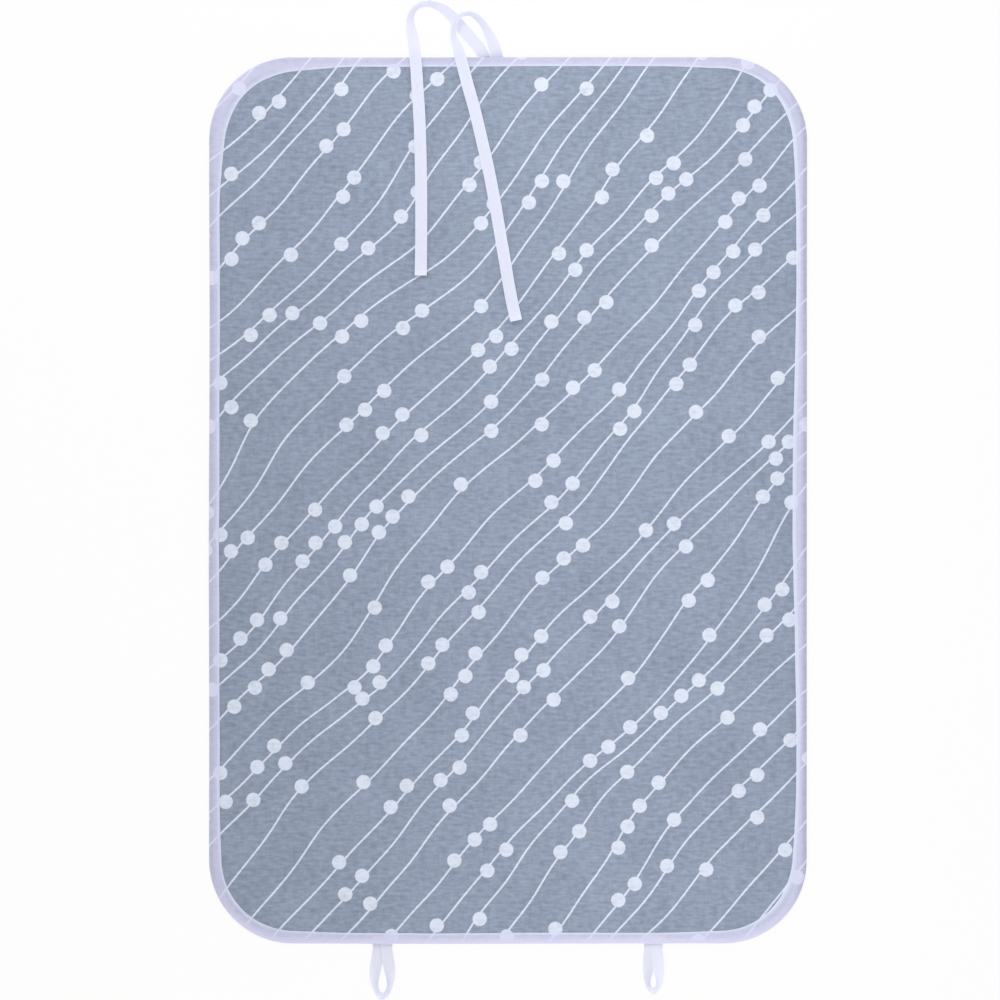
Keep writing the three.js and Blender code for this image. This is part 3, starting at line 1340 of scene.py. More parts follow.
@dataclass
class EdgeBinding:
    """A strip folded over the edge, with its two hems sewn down."""

    half_height: float = 0.00255
    nose: float = 0.0050
    nose_step: int = 15
    thickness: float = 0.00035
    left: float = 0.0106
    right: float = 0.0126
    top: float = 0.0095
    bottom: float = 0.0110
    wander: float = 0.00045
    wander_size: float = 0.095
    ripple: float = 0.00020
    ripples: float = 4.0
    hem: tuple[tuple[float, float], ...] = (
        (0.0, -0.00034),
        (-0.00006, -0.00002),
        (0.00015, 0.00016),
        (0.0008, 0.00023),
        (0.0016, 0.00021),
        (0.0021, 0.00010),
        (0.0026, 0.0),
    )
    hem_end: float = 0.002
    hem_fade: float = 0.3
    left_hem: float = 1.1
    right_hem: float = 1.9
    end_hems: float = 0.8
    hem_play: float = 0.35
    hem_play_size: float = 0.07
    wave: float = 0.00008
    wave_size: float = 0.024
    pucker: float = 0.00010
    pucker_size: float = 0.0085
    # Painted shade on the rim, per side, drawn as extra see-through: darker on the left, right and top,
    # paler at the bottom and the corners.
    left_rim_shade: float = 0.5
    right_rim_shade: float = 0.75
    top_rim_shade: float = 0.35
    bottom_rim_shade: float = -0.6
    corner_rim_paling: float = 0.45
    rim_shade_span: tuple[float, float] = (0.5, 1.6)
    facing_span: tuple[float, float] = (-40.0, 60.0)
    # Where the painted rim shade fades near the top of the nose, and by how much.
    rim_span: tuple[float, float] = (50.0, 90.0)
    upper_rim_paling: float = 0.6
    flap_shares: tuple[float, ...] = (0.25, 0.5, 0.75, 1.0)
    # Painted seam shade: a darker band next to the hem at the corners, drawn as extra see-through.
    seam: float = 0.0013
    painted_corner_seam_shade: float = 0.3
    corner_seam_span: tuple[float, float] = (0.2, 0.7)
    loops: tuple[float, float] = (-0.126, 0.146)
    loop_span: tuple[float, float] = (0.0065, 0.0105)
    loop_cover: float = 0.4
    straying: float = 0.0006
    straying_size: float = 0.16
    stations: list[Station] = field(default_factory=OUTLINE.stations)

    def flap_width(self, place: Station, flap: Flap) -> float:
        """Gives the width of a flap, which wanders a little.

        Args:
            place: The place on the outline.
            flap: Which flap.

        Returns:
            The width in metres.
        """
        across = self.left if place.inwards.x > 0 else self.right
        along = self.bottom if place.inwards.y > 0 else self.top
        width = across * place.inwards.x**2 + along * place.inwards.y**2
        spot = place.edge / self.wander_size
        width += self.wander * waver(spot.x, spot.y, 6 + flap.value)
        if flap is Flap.FRONT:
            width += OUTLINE.cover(place.edge.x, place.edge.y)
        return width + self.ripple * waver(spot.x * self.ripples, spot.y * self.ripples, 9 + flap.value)

    def turned(self, place: Station) -> float:
        """Gives how much of the strip is turned under at its hem, which is widest on the right.

        Args:
            place: The place on the outline.

        Returns:
            The share of the hem's usual width.
        """
        side = self.left_hem if place.inwards.x > 0 else self.right_hem
        share = side * place.inwards.x**2 + self.end_hems * place.inwards.y**2
        play = self.hem_play * abs(place.inwards.x)
        return share + play * waver(place.around / self.hem_play_size, 0.0, 24)

    def turn(self, place: Station) -> float:
        """Gives 1 in the middle of a corner and 0 on the straight sides."""
        return min(1.0, 4 * (place.inwards.x * place.inwards.y) ** 2)

    def lift(self, place: Station, flap: Flap, hem_share: float) -> float:
        """Gives the unevenness of a flap's surface, puckered at the corners.

        Args:
            place: The place on the outline.
            flap: Which flap.
            hem_share: 1 on the hem, 0 at the nose.

        Returns:
            The extra height in metres.
        """
        slow = self.wave * waver(place.around / self.wave_size, hem_share, 12 + flap.value)
        quick = self.pucker * self.turn(place)
        quick *= waver(place.around / self.pucker_size, hem_share, 15 + flap.value)
        return hem_share * (slow + quick)

    def stretch(self, place: Station) -> float:
        """Gives the painted shade on the rim, drawn as extra see-through: darker on the left, right and top,
        paler at the bottom and the corners.

        Args:
            place: The place on the outline.

        Returns:
            The share of painted shade, which is negative where the rim is painted paler.
        """
        across = self.left_rim_shade if place.inwards.x > 0 else self.right_rim_shade
        along = self.bottom_rim_shade if place.inwards.y > 0 else self.top_rim_shade
        drawn = across * place.inwards.x**2 + along * place.inwards.y**2
        return drawn - self.corner_rim_paling * self.turn(place)

    def covered(self, place: Station) -> float:
        """Gives how much the tape of a hanging loop, sewn in behind the strip, whitens it.

        Args:
            place: The place on the outline.

        Returns:
            The share, which is 0 away from the loops.
        """
        if place.inwards.y < 0.9:
            return 0.0
        off_loop = min(abs(place.edge.x - loop) for loop in self.loops)
        return self.loop_cover * (1 - smoothstep(off_loop, *self.loop_span))

    def flap_rows(self, place: Station, flap: Flap) -> list[StripRow]:
        """Gives a flap's section at a place, from its hem to the nose.

        Args:
            place: The place on the outline.
            flap: Which flap.

        Returns:
            The rows in order.
        """
        rows: list[StripRow] = []
        front = 1.0 if flap is Flap.FRONT else 0.0
        width, turned = self.flap_width(place, flap), self.turned(place)
        for back, raised in self.hem:
            high = self.half_height + raised + self.lift(place, flap, 1.0)
            height = OUTLINE.middle_height + flap.value * high
            folded = 1.0 if back < self.hem_end else self.hem_fade
            rows.append(StripRow(width - back * turned, height, folded, front, 0.0))
        inner = width - self.hem[-1][0] * turned
        for share in self.flap_shares:
            high = self.half_height + self.lift(place, flap, 1.0 - share)
            height = OUTLINE.middle_height + flap.value * high
            # Painted seam shade at the corners, next to the hem.
            seen = self.painted_corner_seam_shade * self.turn(place) * (1 - smoothstep(share, *self.corner_seam_span))
            # Painted rim shade, drawn as extra see-through towards the nose.
            seen += self.stretch(place) * smoothstep(share, *self.rim_shade_span)
            thin = seen * front - self.covered(place)
            rows.append(StripRow(inner + (self.nose - inner) * share, height, 0.0, front, thin))
        return rows

    def nose_rows(self, place: Station) -> list[StripRow]:
        """Gives the section of the round nose at a place, from front to back.

        Args:
            place: The place on the outline.

        Returns:
            The rows in order.
        """
        rows: list[StripRow] = []
        for degrees in range(90 - self.nose_step, -90, -self.nose_step):
            angle = math.radians(degrees)
            inset = self.nose * (1 - math.cos(angle))
            height = OUTLINE.middle_height + self.half_height * math.sin(angle)
            facing = smoothstep(degrees, *self.facing_span)
            # Painted rim shade on the nose, weaker near its top.
            thin = self.stretch(place) * facing * (1 - self.upper_rim_paling * smoothstep(degrees, *self.rim_span))
            rows.append(StripRow(inset, height, 0.0, facing, thin - self.covered(place)))
        return rows

    def section(self, place: Station) -> list[StripRow]:
        """Gives the strip's section at a place, from the front hem round the nose to the back hem.

        Args:
            place: The place on the outline.

        Returns:
            The rows in order.
        """
        front, back = self.flap_rows(place, Flap.FRONT), self.flap_rows(place, Flap.BACK)
        return front + self.nose_rows(place) + back[::-1]

    def stray(self, place: Station) -> Vector:
        """Gives how far the sewn edge strays from a true line.

        Args:
            place: The place on the outline.

        Returns:
            The shift in the plane.
        """
        spot = place.edge / self.straying_size
        return place.inwards * self.straying * waver(spot.x, spot.y, 20)

    def point(self, place: Station, inset: float, height: float) -> Vector:
        """Finds a point of the strip.

        Args:
            place: The place on the outline.
            inset: How far in it lies.
            height: Its height over the table.

        Returns:
            The point.
        """
        return place.edge + self.stray(place) + place.inwards * inset + Vector((0, 0, height))

    def build(self) -> list[bpy.types.Object]:
        """Builds and dresses the strip and its two rows of stitches.

        Returns:
            The binding, the front stitches and the back stitches.
        """
        sections = [self.section(place) for place in self.stations]
        rings = [
            [self.point(place, row.inset, row.height) for place, row in zip(self.stations, level)]
            for level in zip(*sections)
        ]
        bm = bmesh.new()
        layers = [bm.verts.layers.float.new(name) for name in ("hem", "front", "thin")]
        for level, ring in zip(zip(*sections), sweep(bm, rings, capped=False)):
            for vert, row in zip(ring, level):
                for layer, value in zip(layers, (row.hem, row.front, row.thin)):
                    vert[layer] = value
        piece = new_piece("binding_strip", bm, BINDING_FINISH)
        thicken(piece, self.thickness)
        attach(piece, "pad")
        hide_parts("edge_binding")
        return [piece, *(self.stitches(flap) for flap in Flap)]

    def stitches(self, flap: Flap) -> bpy.types.Object:
        """Sews a flap's hem down.

        Args:
            flap: Which flap.

        Returns:
            The row of stitches.
        """
        line = []
        for place in [*self.stations, self.stations[0]]:
            high = self.half_height + self.hem[3][1] + self.lift(place, flap, 1.0)
            inset = self.flap_width(place, flap) - self.seam
            line.append(self.point(place, inset, OUTLINE.middle_height + flap.value * high))
        row = StitchRow(line, Vector((0, 0, flap.value)))
        return row.build(f"binding_stitches_{flap.name.lower()}", "pad")


@dataclass
class StitchRow:
    """Stitches set end to end along a line."""

    line: Sequence[Vector]
    up: Vector
    pitch: float = 0.0030
    size: tuple[float, float, float] = (0.0024, 0.00042, 0.00036)
    sides: int = 6
    rings: int = 4

    def places(self) -> list[Matrix]:
        """Spaces the stitches evenly along the line.

        Returns:
            Each stitch's place and turn.
        """
        found: list[Matrix] = []
        passed = 0.0
        due = self.pitch / 2
        for start, end in zip(self.line, self.line[1:]):
            step = end - start
            while due <= passed + step.length:
                ahead = step.normalized()
                aside = self.up.cross(ahead).normalized()
                turn = Matrix((ahead, aside, ahead.cross(aside))).transposed().to_4x4()
                found.append(Matrix.Translation(start + ahead * (due - passed)) @ turn)
                due += self.pitch
            passed += step.length
        return found

    def build(self, name: str, body: str) -> bpy.types.Object:
        """Builds and dresses the stitches.

        Args:
            name: The row's name.
            body: The body that they move with.

        Returns:
            The stitches as one piece.
        """
        single = bmesh.new()
        bmesh.ops.create_uvsphere(single, u_segments=self.sides, v_segments=self.rings, radius=0.5)
        bmesh.ops.rotate(single, verts=single.verts, matrix=Matrix.Rotation(math.pi / 2, 3, "Y"))
        bmesh.ops.scale(single, verts=single.verts, vec=self.size)
        settle(single)
        mould = bpy.data.meshes.new("stitch")
        single.to_mesh(mould)
        single.free()
        bm = bmesh.new()
        for matrix in self.places():
            stitch = mould.copy()
            stitch.transform(matrix)
            bm.from_mesh(stitch)
            bpy.data.meshes.remove(stitch)
        bpy.data.meshes.remove(mould)
        piece = new_piece(name, bm, THREAD_FINISH)
        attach(piece, body)
        return piece


class TapeRow(NamedTuple):
    """A place on a tape's middle line: x, y, its lean in degrees and its rise over the table."""

    x: float
    y: float
    lean: float
    rise: float


class Spline:
    """A smooth curve through points that doesn't overshoot where they crowd."""

    def __init__(self, points: Sequence[Vector]) -> None:
        """Keeps the points.

        Args:
            points: What the curve runs through.
        """
        ends = (2 * points[0] - points[1], 2 * points[-1] - points[-2])
        self.points = [ends[0], *points, ends[1]]

    def at(self, row: float) -> Vector:
        """Looks up the curve.

        Args:
            row: The row's number and the share of the way to the next.

        Returns:
            The point there.
        """
        first = min(max(int(row), 0), len(self.points) - 4)
        share = row - first
        p0, p1, p2, p3 = self.points[first : first + 4]
        gap = math.sqrt((p2 - p1).length) or 1.0
        before = math.sqrt((p1 - p0).length) or gap
        after = math.sqrt((p3 - p2).length) or gap
        leave = ((p1 - p0) / before - (p2 - p0) / (before + gap) + (p2 - p1) / gap) * gap
        reach = ((p2 - p1) / gap - (p3 - p1) / (gap + after) + (p3 - p2) / after) * gap
        square = 3 * (p2 - p1) - 2 * leave - reach
        cube = 2 * (p1 - p2) + leave + reach
        return p1 + share * (leave + share * (square + share * cube))


class TapePlace(NamedTuple):
    """A tape's middle, the way to its inner edge and the way up from it."""

    middle: Vector
    inwards: Vector
    upwards: Vector


@dataclass
class TapeRoute:
    """The way that a tape lies, resting on its lower edge."""

    rows: Sequence[TapeRow]
    width: float = 0.012
    thickness: float = 0.0005
    table_gap: float = 0.0002
    parts: int = 24
    nudge: float = 0.01

    def __post_init__(self) -> None:
        """Makes the curves, and measures the way along them."""
        self.plan = Spline([Vector((row.x, row.y, row.rise)) for row in self.rows])
        self.leans = Spline([Vector((row.lean, 0.0, 0.0)) for row in self.rows])
        self.marks = [0.0]
        steps = [step / self.parts for step in range(self.parts * (len(self.rows) - 1) + 1)]
        for near, far in zip(steps, steps[1:]):
            self.marks.append(self.marks[-1] + (self.middle(far) - self.middle(near)).length)

    def lean(self, row: float) -> float:
        """Gives the lean at a row, in radians."""
        return math.radians(max(0.0, self.leans.at(row).x))

    def middle(self, row: float) -> Vector:
        """Gives the tape's middle at a row.

        Args:
            row: The row's number and the share of the way to the next.

        Returns:
            The point.
        """
        lean = self.lean(row)
        point = self.plan.at(row)
        point.z += self.table_gap + self.width / 2 * math.sin(lean) + self.thickness / 2 * math.cos(lean)
        return point

    def length(self) -> float:
        """Gives the tape's whole length."""
        return self.marks[-1]

    def row_at(self, distance: float) -> float:
        """Finds the row at a distance along the tape.

        Args:
            distance: The distance from the tape's start.

        Returns:
            The row's number and the share of the way to the next.
        """
        for index in range(len(self.marks) - 1):
            if self.marks[index + 1] >= distance:
                span = self.marks[index + 1] - self.marks[index]
                return (index + max(0.0, distance - self.marks[index]) / span) / self.parts
        return len(self.rows) - 1.0

    def place(self, distance: float) -> TapePlace:
        """Gives how the tape lies at a distance along it.

        Args:
            distance: The distance from the tape's start.

        Returns:
            The tape's middle and its two directions.
        """
        row = self.row_at(distance)
        last = len(self.rows) - 1.0
        ahead = self.middle(min(row + self.nudge, last)) - self.middle(max(row - self.nudge, 0.0))
        ahead.normalize()
        level = Vector((0, 0, 1)).cross(ahead).normalized()
        inwards = Matrix.Rotation(-self.lean(row), 3, ahead) @ level
        return TapePlace(self.middle(row), inwards, ahead.cross(inwards))


@dataclass
class Ribbon:
    """A stretch of woven tape along a route."""

    name: str
    route: TapeRoute
    start: float
    end: float
    step: float = 0.0025
    hem_length: float = 0.0
    hem_rows: tuple[float, ...] = (0.0006, 0.0001, -0.0003)
    hem_clear: float = 0.001
    hem_rise: float = 1.7
    hem_paleness: float = 0.8
    fold: float = 0.0004
    end_height: float = 0.9
    curl: float = 0.0
    end_lift: float = 0.0
    lift_span: float = 0.016
    # Share of painted table light along the whole tape; the loops take all of it.
    paleness: float = 0.0
    # Share of painted table light where the tape lies beyond the pad's edge.
    table_glow: float = 0.65
    glow_span: tuple[float, float] = (0.0, 0.012)
    thread_lift: float = 1.3
    profile: tuple[tuple[float, float], ...] = (
        (1.0, 0.35),
        (0.985, 0.85),
        (0.95, 1.12),
        (0.90, 1.05),
        (0.84, 0.92),
        (0.50, 0.88),
        (0.0, 0.90),
    )

    def distances(self) -> list[float]:
        """Spaces the tape's rings, closer where its end is turned under.

        Returns:
            The distances along the route.
        """
        count = max(2, round((self.end - self.start) / self.step))
        spaced = [self.start + (self.end - self.start) * i / count for i in range(count + 1)]
        if not self.hem_length:
            return spaced
        hem = self.end - self.hem_length
        turned = [hem - back for back in self.hem_rows]
        single = [distance for distance in spaced if distance < hem - self.hem_clear]
        return [*single, *turned, self.end - self.fold, self.end]

    def place(self, distance: float) -> TapePlace:
        """Gives how the tape lies at a distance, with its free end a little off the cloth.

        Args:
            distance: The distance along the route.

        Returns:
            The tape's middle and its two directions.
        """
        middle, inwards, upwards = self.route.place(distance)
        lift = self.end_lift * smoothstep(distance, self.end - self.lift_span, self.end)
        return TapePlace(middle + upwards * lift, inwards, upwards)

    def doubled(self, distance: float) -> float:
        """Gives 1 where the tape's end is turned under, and 0 elsewhere.

        Args:
            distance: The distance along the route.

        Returns:
            The share.
        """
        hem = self.end - self.hem_length
        return smoothstep(distance, hem - self.fold, hem) if self.hem_length else 0.0

    def ring(self, distance: float) -> list[tuple[Vector, float]]:
        """Gives the tape's section at a distance.

        Args:
            distance: The distance along the route.

        Returns:
            Points, each with its place across the tape.
        """
        middle, inwards, upwards = self.place(distance)
        half_width, half = self.route.width / 2, self.route.thickness / 2
        flatness = max(0.0, upwards.z) ** 8
        hem = self.doubled(distance)
        worn = self.end_height + (1 - self.end_height) * smoothstep(self.end - distance, 0.0, self.fold)
        sides = [*self.profile, *((-share, high) for share, high in reversed(self.profile[:-1]))]
        made = []
        for top in (1, -1):
            for share, high in sides[::top]:
                rise = top * half * high * worn
                if top > 0:
                    rise += hem * self.hem_rise * half * worn
                rise += self.curl * flatness * share**4
                point = middle + inwards * half_width * share + upwards * rise
                made.append((point, half_width * share))
        return made

    def build(self) -> bpy.types.Object:
        """Builds and dresses the stretch.

        Returns:
            The tape.
        """
        distances = self.distances()
        rings = [self.ring(distance) for distance in distances]
        bm = bmesh.new()
        layers = [bm.verts.layers.float.new(name) for name in ("along", "across", "paleness")]
        made = sweep(bm, [[point for point, _ in ring] for ring in rings], capped=True)
        for distance, ring, verts in zip(distances, rings, made):
            spot = self.place(distance).middle
            # Painted light from the white table beyond the pad's edge; the turned-under end is paler too.
            painted_table_glow = self.table_glow * smoothstep(-OUTLINE.inset(spot.x, spot.y), *self.glow_span)
            pale = max(self.paleness, painted_table_glow, self.hem_paleness * self.doubled(distance))
            for vert, (_, aside) in zip(verts, ring):
                for layer, value in zip(layers, (distance, aside, pale)):
                    vert[layer] = value
        piece = new_piece(self.name, bm, TAPE_FINISH)
        return piece

    def line_across(self, distance: float, reach: float) -> list[Vector]:
        """Gives a line across the tape's upper side.

        Args:
            distance: The distance along the route.
            reach: How much of the width it takes.

        Returns:
            The line's two ends.
        """
        middle, inwards, upwards = self.place(distance)
        raised = middle + upwards * self.route.thickness * self.thread_lift
        half = inwards * self.route.width / 2 * reach
        return [raised - half, raised + half]


@dataclass
class TieTape:
    """A tie: sewn behind the top edge, turned up outside it, and laid over the face."""

    name: str
    rows: tuple[TapeRow, ...]
    tail: float = 0.0083
    tail_start: float = 0.0004
    hem_length: float = 0.0042
    hem_seam: float = 0.0012
    hem_reach: float = 0.9
    curl: float = 0.0008
    end_lift: float = 0.0032
    tack_inset: float = 0.0045
    tack_height: float = 0.00022
    tack_reach: float = 0.0052

    def build(self) -> bpy.types.Object:
        """Builds the tie, its sewn tail and its hem's stitches.

        Returns:
            The tie.
        """
        shifted = [row._replace(y=row.y + OUTLINE.length / 2) for row in self.rows]
        route = TapeRoute(shifted)
        ribbon = Ribbon(
            f"{self.name}_tape", route, self.tail, route.length(),
            hem_length=self.hem_length, curl=self.curl, end_lift=self.end_lift,
        )
        tie = ribbon.build()
        path = [ribbon.place(distance).middle for distance in ribbon.distances()]
        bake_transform(tie)
        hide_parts(f"{self.name}_root", f"{self.name}_end")

        sewn = Ribbon(f"{self.name}_tail", route, self.tail_start, self.tail).build()
        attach(sewn, "pad")
        across = ribbon.line_across(route.length() - self.hem_length + self.hem_seam, self.hem_reach)
        stitches = StitchRow(across, Vector((0, 0, 1)), pitch=0.0018, size=(0.0015, 0.00036, 0.0003))
        hem = stitches.build(f"{self.name}_hem_stitches", f"{self.name}_end")
        root = Vector((self.rows[0].x, OUTLINE.length / 2 - self.tack_inset, self.tack_height))
        ends = [root + Vector((reach, 0.0, 0.0)) for reach in (-self.tack_reach, self.tack_reach)]
        tack = StitchRow(ends, Vector((0, 0, -1)), pitch=0.0019, size=(0.0016, 0.0004, 0.0003))
        tack = tack.build(f"{self.name}_tack", "pad")
        route.length() - self.tail
        return tie


LEFT_TIE = TieTape("left_tie", (
    TapeRow(-0.0238, -0.0090, 0, 0.0),
    TapeRow(-0.0239, 0.0005, 0, 0.0),
    TapeRow(-0.0280, 0.0082, 4, 0.0),
    TapeRow(-0.0364, 0.0180, 12, 0.0),
    TapeRow(-0.0456, 0.0288, 15, 0.0),
    TapeRow(-0.0548, 0.0394, 22, 0.0),
    TapeRow(-0.0657, 0.0486, 46, 0.0),
    TapeRow(-0.0780, 0.0532, 66, 0.0),
    TapeRow(-0.0892, 0.0516, 72, 0.0),
    TapeRow(-0.0962, 0.0449, 66, 0.0),
    TapeRow(-0.0982, 0.0362, 50, 0.00070),
    TapeRow(-0.0970, 0.0254, 30, 0.00280),
    TapeRow(-0.0948, 0.0136, 15, 0.00546),
    TapeRow(-0.0934, 0.0034, 4, 0.00700),
    TapeRow(-0.0924, -0.0066, 0, 0.00700),
    TapeRow(-0.0910, -0.0275, 0, 0.00700),
    TapeRow(-0.0888, -0.0625, 0, 0.00700),
    TapeRow(-0.0872, -0.1228, 0, 0.00700),
    TapeRow(-0.0870, -0.1730, 0, 0.00700),
    TapeRow(-0.0874, -0.2198, 0, 0.00700),
))
RIGHT_TIE = TieTape("right_tie", (
    TapeRow(-0.0108, -0.0090, 0, 0.0),
    TapeRow(-0.0110, 0.0005, 0, 0.0),
    TapeRow(-0.0130, 0.0086, 10, 0.0),
    TapeRow(-0.0168, 0.0182, 34, 0.0),
    TapeRow(-0.0216, 0.0280, 50, 0.00035),
    TapeRow(-0.0280, 0.0368, 62, 0.00154),
    TapeRow(-0.0362, 0.0424, 74, 0.00315),
    TapeRow(-0.0450, 0.0420, 78, 0.00504),
    TapeRow(-0.0520, 0.0368, 78, 0.00588),
    TapeRow(-0.0550, 0.0288, 72, 0.00546),
    TapeRow(-0.0545, 0.0196, 56, 0.00518),
    TapeRow(-0.0514, 0.0100, 34, 0.00616),
    TapeRow(-0.0488, 0.0026, 12, 0.00686),
    TapeRow(-0.0460, -0.0066, 0, 0.00700),
    TapeRow(-0.0410, -0.0264, 0, 0.00700),
    TapeRow(-0.0342, -0.0506, 0, 0.00700),
    TapeRow(-0.0272, -0.0796, 0, 0.00700),
    TapeRow(-0.0192, -0.1148, 0, 0.00700),
    TapeRow(-0.0138, -0.1430, 0, 0.00700),
    TapeRow(-0.0032, -0.2050, 0, 0.00700),
    TapeRow(0.0034, -0.2430, 0, 0.00700),
    TapeRow(0.0082, -0.2650, 0, 0.00700),
))


class LegRow(NamedTuple):
    """A place on a loop's legs: their gap, how far out, the lean in degrees and each leg's rise."""

    gap: float
    out: float
    lean: float
    left_rise: float
    right_rise: float


@dataclass
class HangingLoop:
    """A loop of tape whose two ends lie on each other behind the bottom edge."""

    name: str
    middle: float
    legs: tuple[LegRow, ...]
    tip: tuple[float, float]
    thickness: float = 0.00045
    step: float = 0.0016
    tacks: tuple[tuple[float, Flap], ...] = (
        (0.0045, Flap.BACK),
        (0.0048, Flap.FRONT),
        (0.0068, Flap.FRONT),
    )
    tack_reach: float = 0.0080
    back_height: float = 0.00008
    front_height: float = 0.00631

    def build(self) -> bpy.types.Object:
        """Builds the loop with its sewn ends and their stitches.

        Returns:
            The loop.
        """
        half = TapeRoute.width / 2
        left, right = [], []
        for gap, out, lean, left_rise, right_rise in self.legs:
            aside = gap / 2 + half * math.cos(math.radians(lean))
            y = -OUTLINE.length / 2 - out
            left.append(TapeRow(self.middle - aside, y, lean, left_rise))
            right.append(TapeRow(self.middle + aside, y, lean, right_rise))
        tip = TapeRow(self.middle, -OUTLINE.length / 2 - self.tip[0], self.tip[1], 0.0)
        route = TapeRoute([*left, tip, *right[::-1]], thickness=self.thickness)
        # The loops are painted pale all along, as light from the white table.
        ribbon = Ribbon(f"{self.name}_tape", route, 0.0, route.length(), step=self.step, paleness=1.0)
        loop = ribbon.build()
        seam = -OUTLINE.length / 2
        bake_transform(loop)
        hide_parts(self.name, f"{self.name}_tail")
        for inset, side in self.tacks:
            height = self.back_height if side is Flap.BACK else self.front_height
            reaches = (-self.tack_reach, self.tack_reach)
            ends = [Vector((self.middle + reach, seam + inset, height)) for reach in reaches]
            tack = StitchRow(ends, Vector((0, 0, side.value)), pitch=0.0017, size=(0.0016, 0.0005, 0.0003))
            tack.build(f"{self.name}_tack_{side.name.lower()}_{round(inset * 1e4)}", "pad")
        return loop


LEFT_LOOP = HangingLoop("left_loop", -0.126, (
    LegRow(-0.0042, -0.0085, 0, -0.00017, 0.00032),
    LegRow(-0.0042, -0.0025, 0, -0.00017, 0.00032),
    LegRow(-0.0042, 0.0018, 0, 0.0, 0.0008),
    LegRow(-0.0042, 0.0060, 0, 0.0, 0.0008),
    LegRow(-0.0018, 0.0140, 0, 0.0, 0.00088),
    LegRow(0.0012, 0.0220, 8, 0.0, 0.00096),
    LegRow(0.0050, 0.0300, 28, 0.0, 0.00016),
    LegRow(0.0084, 0.0380, 52, 0.0, 0.0),
    LegRow(0.0086, 0.0446, 66, 0.0, 0.0),
    LegRow(0.0033, 0.0502, 68, 0.0, 0.0),
), (0.0526, 64))
RIGHT_LOOP = HangingLoop("right_loop", 0.146, (
    LegRow(-0.0052, -0.0085, 0, -0.00017, 0.00032),
    LegRow(-0.0052, -0.0025, 0, -0.00017, 0.00032),
    LegRow(-0.0052, 0.0018, 0, 0.0, 0.0008),
    LegRow(-0.0052, 0.0060, 0, 0.0, 0.0008),
    LegRow(-0.0036, 0.0140, 6, 0.0, 0.0011),
    LegRow(-0.0016, 0.0210, 16, 0.0, 0.0012),
    LegRow(0.0006, 0.0280, 30, 0.0, 0.0009),
    LegRow(0.0046, 0.0345, 50, 0.0, 0.00024),
    LegRow(0.0058, 0.0406, 64, 0.0, 0.0),
    LegRow(0.0032, 0.0450, 70, 0.0, 0.0),
), (0.0472, 66))


class Lamp(NamedTuple):
    """A broad lamp: its name, its place, what it shines on, its two sides and its power in watts."""

    name: str
    place: tuple[float, float, float]
    aim: tuple[float, float, float]
    size: tuple[float, float]
    power: float


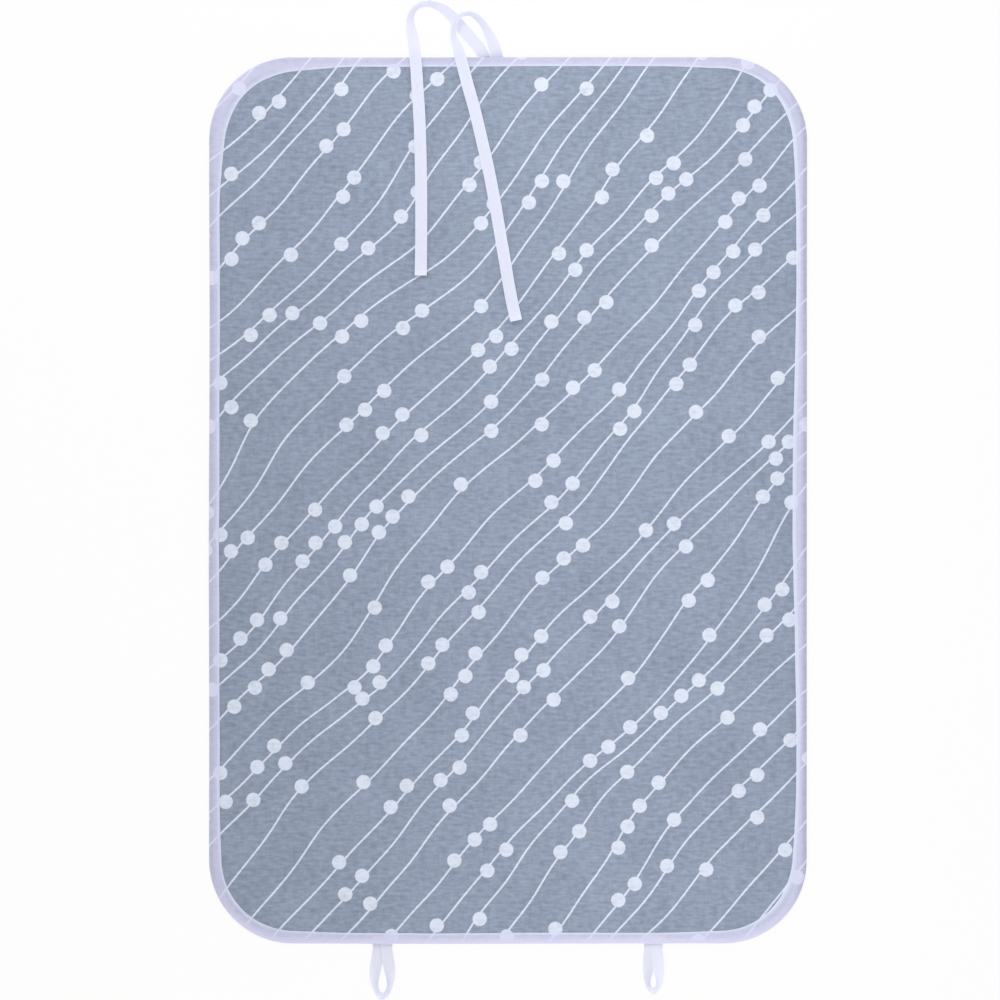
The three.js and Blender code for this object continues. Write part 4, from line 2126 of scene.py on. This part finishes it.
@dataclass
class Studio:
    """The table, the light and the camera over it."""

    table_size: float = 6.0
    table_height: float = -0.0004
    table_colour: Colour = (0.92, 0.92, 0.92, 1.0)
    table_roughness: float = 0.9
    table_specular: float = 0.1
    whiteness: float = 0.94
    zenith: float = 0.0
    horizon: float = 1.5
    lens: float = 120.0
    sensor: float = 36.0
    view_width: float = 1.003
    view_centre: tuple[float, float] = (-0.00802, 0.0003)
    view_height: float = 0.007
    view_end: float = 100.0
    lamps: tuple[Lamp, ...] = (
        Lamp("key", (-0.75, 1.35, 1.75), (0.0, 0.0, 0.0), (0.4, 0.4), 12.0),
        Lamp("strip", (0.17, 0.05, 0.5), (0.17, 0.05, 0.0), (0.2, 2.4), 1.98),
        Lamp("front", (-0.5, -2.0, 1.9), (0.0, 0.0, 0.0), (2.0, 1.0), 13.6),
        Lamp("top", (-0.12, 0.75, 0.5), (-0.12, 0.75, 0.0), (0.6, 0.2), 0.62),
    )

    def seen(self, nodes: Nodes) -> bpy.types.NodeSocket:
        """Tells rays that the camera sees from those that only light something.

        Args:
            nodes: The material's or the world's node maker.

        Returns:
            1 for what is seen straight, mirrored or through something clear, and 0 otherwise.
        """
        path = nodes.add("ShaderNodeLightPath").outputs
        mirrored = nodes.math("MAXIMUM", path["Is Camera Ray"], path["Is Glossy Ray"])
        return nodes.math("MAXIMUM", mirrored, path["Is Transmission Ray"])

    def table(self) -> None:
        """Lays a plain white table that keeps the pad's shadow."""
        bm = bmesh.new()
        bmesh.ops.create_grid(bm, x_segments=1, y_segments=1, size=self.table_size)
        bmesh.ops.translate(bm, verts=bm.verts, vec=(0, 0, self.table_height))
        mesh = bpy.data.meshes.new("table")
        bm.to_mesh(mesh)
        bm.free()
        table = bpy.data.objects.new("table", mesh)
        bpy.context.scene.collection.objects.link(table)
        material = bpy.data.materials.new("table_white")
        material.use_nodes = True
        nodes = Nodes(material.node_tree)
        plain = material.node_tree.nodes["Principled BSDF"]
        plain.inputs["Base Color"].default_value = self.table_colour
        plain.inputs["Roughness"].default_value = self.table_roughness
        plain.inputs["Specular IOR Level"].default_value = self.table_specular
        glow = nodes.add("ShaderNodeEmission")
        mixed = nodes.add("ShaderNodeMixShader")
        nodes.feed(mixed.inputs[0], nodes.math("MULTIPLY", self.seen(nodes), self.whiteness))
        nodes.feed(mixed.inputs[1], plain.outputs[0])
        nodes.feed(mixed.inputs[2], glow.outputs[0])
        nodes.feed(material.node_tree.nodes["Material Output"].inputs[0], mixed.outputs[0])
        mesh.materials.append(material)

    def light(self) -> None:
        """Sets soft light from all round, and the lamps."""
        world = bpy.data.worlds.new("studio")
        world.use_nodes = True
        bpy.context.scene.world = world
        nodes = Nodes(world.node_tree)
        sky = world.node_tree.nodes["Background"].inputs
        sky["Color"].default_value = (1.0, 1.0, 1.0, 1.0)
        upward = nodes.split(nodes.add("ShaderNodeTexCoord").outputs["Generated"])["Z"]
        glow = nodes.ramp(upward, 0.0, 1.0, self.horizon, self.zenith)
        nodes.feed(sky["Strength"], nodes.ramp(self.seen(nodes), 0.0, 1.0, glow, 1.0))
        for lamp in self.lamps:
            self.hang(lamp)

    def hang(self, lamp: Lamp) -> None:
        """Hangs a lamp.

        Args:
            lamp: The lamp.
        """
        data = bpy.data.lights.new(lamp.name, "AREA")
        data.shape = "RECTANGLE"
        data.size, data.size_y = lamp.size
        data.energy = lamp.power
        hung = bpy.data.objects.new(lamp.name, data)
        hung.location = lamp.place
        ahead = Vector(lamp.aim) - Vector(lamp.place)
        hung.rotation_euler = ahead.to_track_quat("-Z", "Y").to_euler()
        hung.visible_camera = False
        bpy.context.scene.collection.objects.link(hung)

    def camera(self) -> None:
        """Looks straight down with a long lens."""
        data = bpy.data.cameras.new("camera")
        data.lens = self.lens
        data.sensor_width = self.sensor
        data.clip_end = self.view_end
        camera = bpy.data.objects.new("camera", data)
        height = self.view_width * self.lens / self.sensor
        camera.location = (*self.view_centre, height + self.view_height)
        bpy.context.scene.collection.objects.link(camera)
        bpy.context.scene.camera = camera
        bpy.context.scene.view_settings.view_transform = "Standard"


def main() -> None:
    """Builds the studio and the pad's pieces in order."""
    logging.basicConfig(level=logging.INFO, format="%(message)s")
    studio = Studio()
    studio.camera()
    studio.light()
    studio.table()
    for tie in (LEFT_TIE, RIGHT_TIE):
        LOG.info("tie: %s", tie.build().name)
    for loop in (LEFT_LOOP, RIGHT_LOOP):
        LOG.info("loop: %s", loop.build().name)
    LOG.info("filling: %s", FeltPadding().build().name)
    LOG.info("backing: %s", BackingCloth().build().name)
    bound = EdgeBinding().build()
    LOG.info("binding: %s", ", ".join(piece.name for piece in bound))
    face = FaceCloth().build()
    LOG.info("face: %s", face.name)


if __name__ == "__main__":
    main()
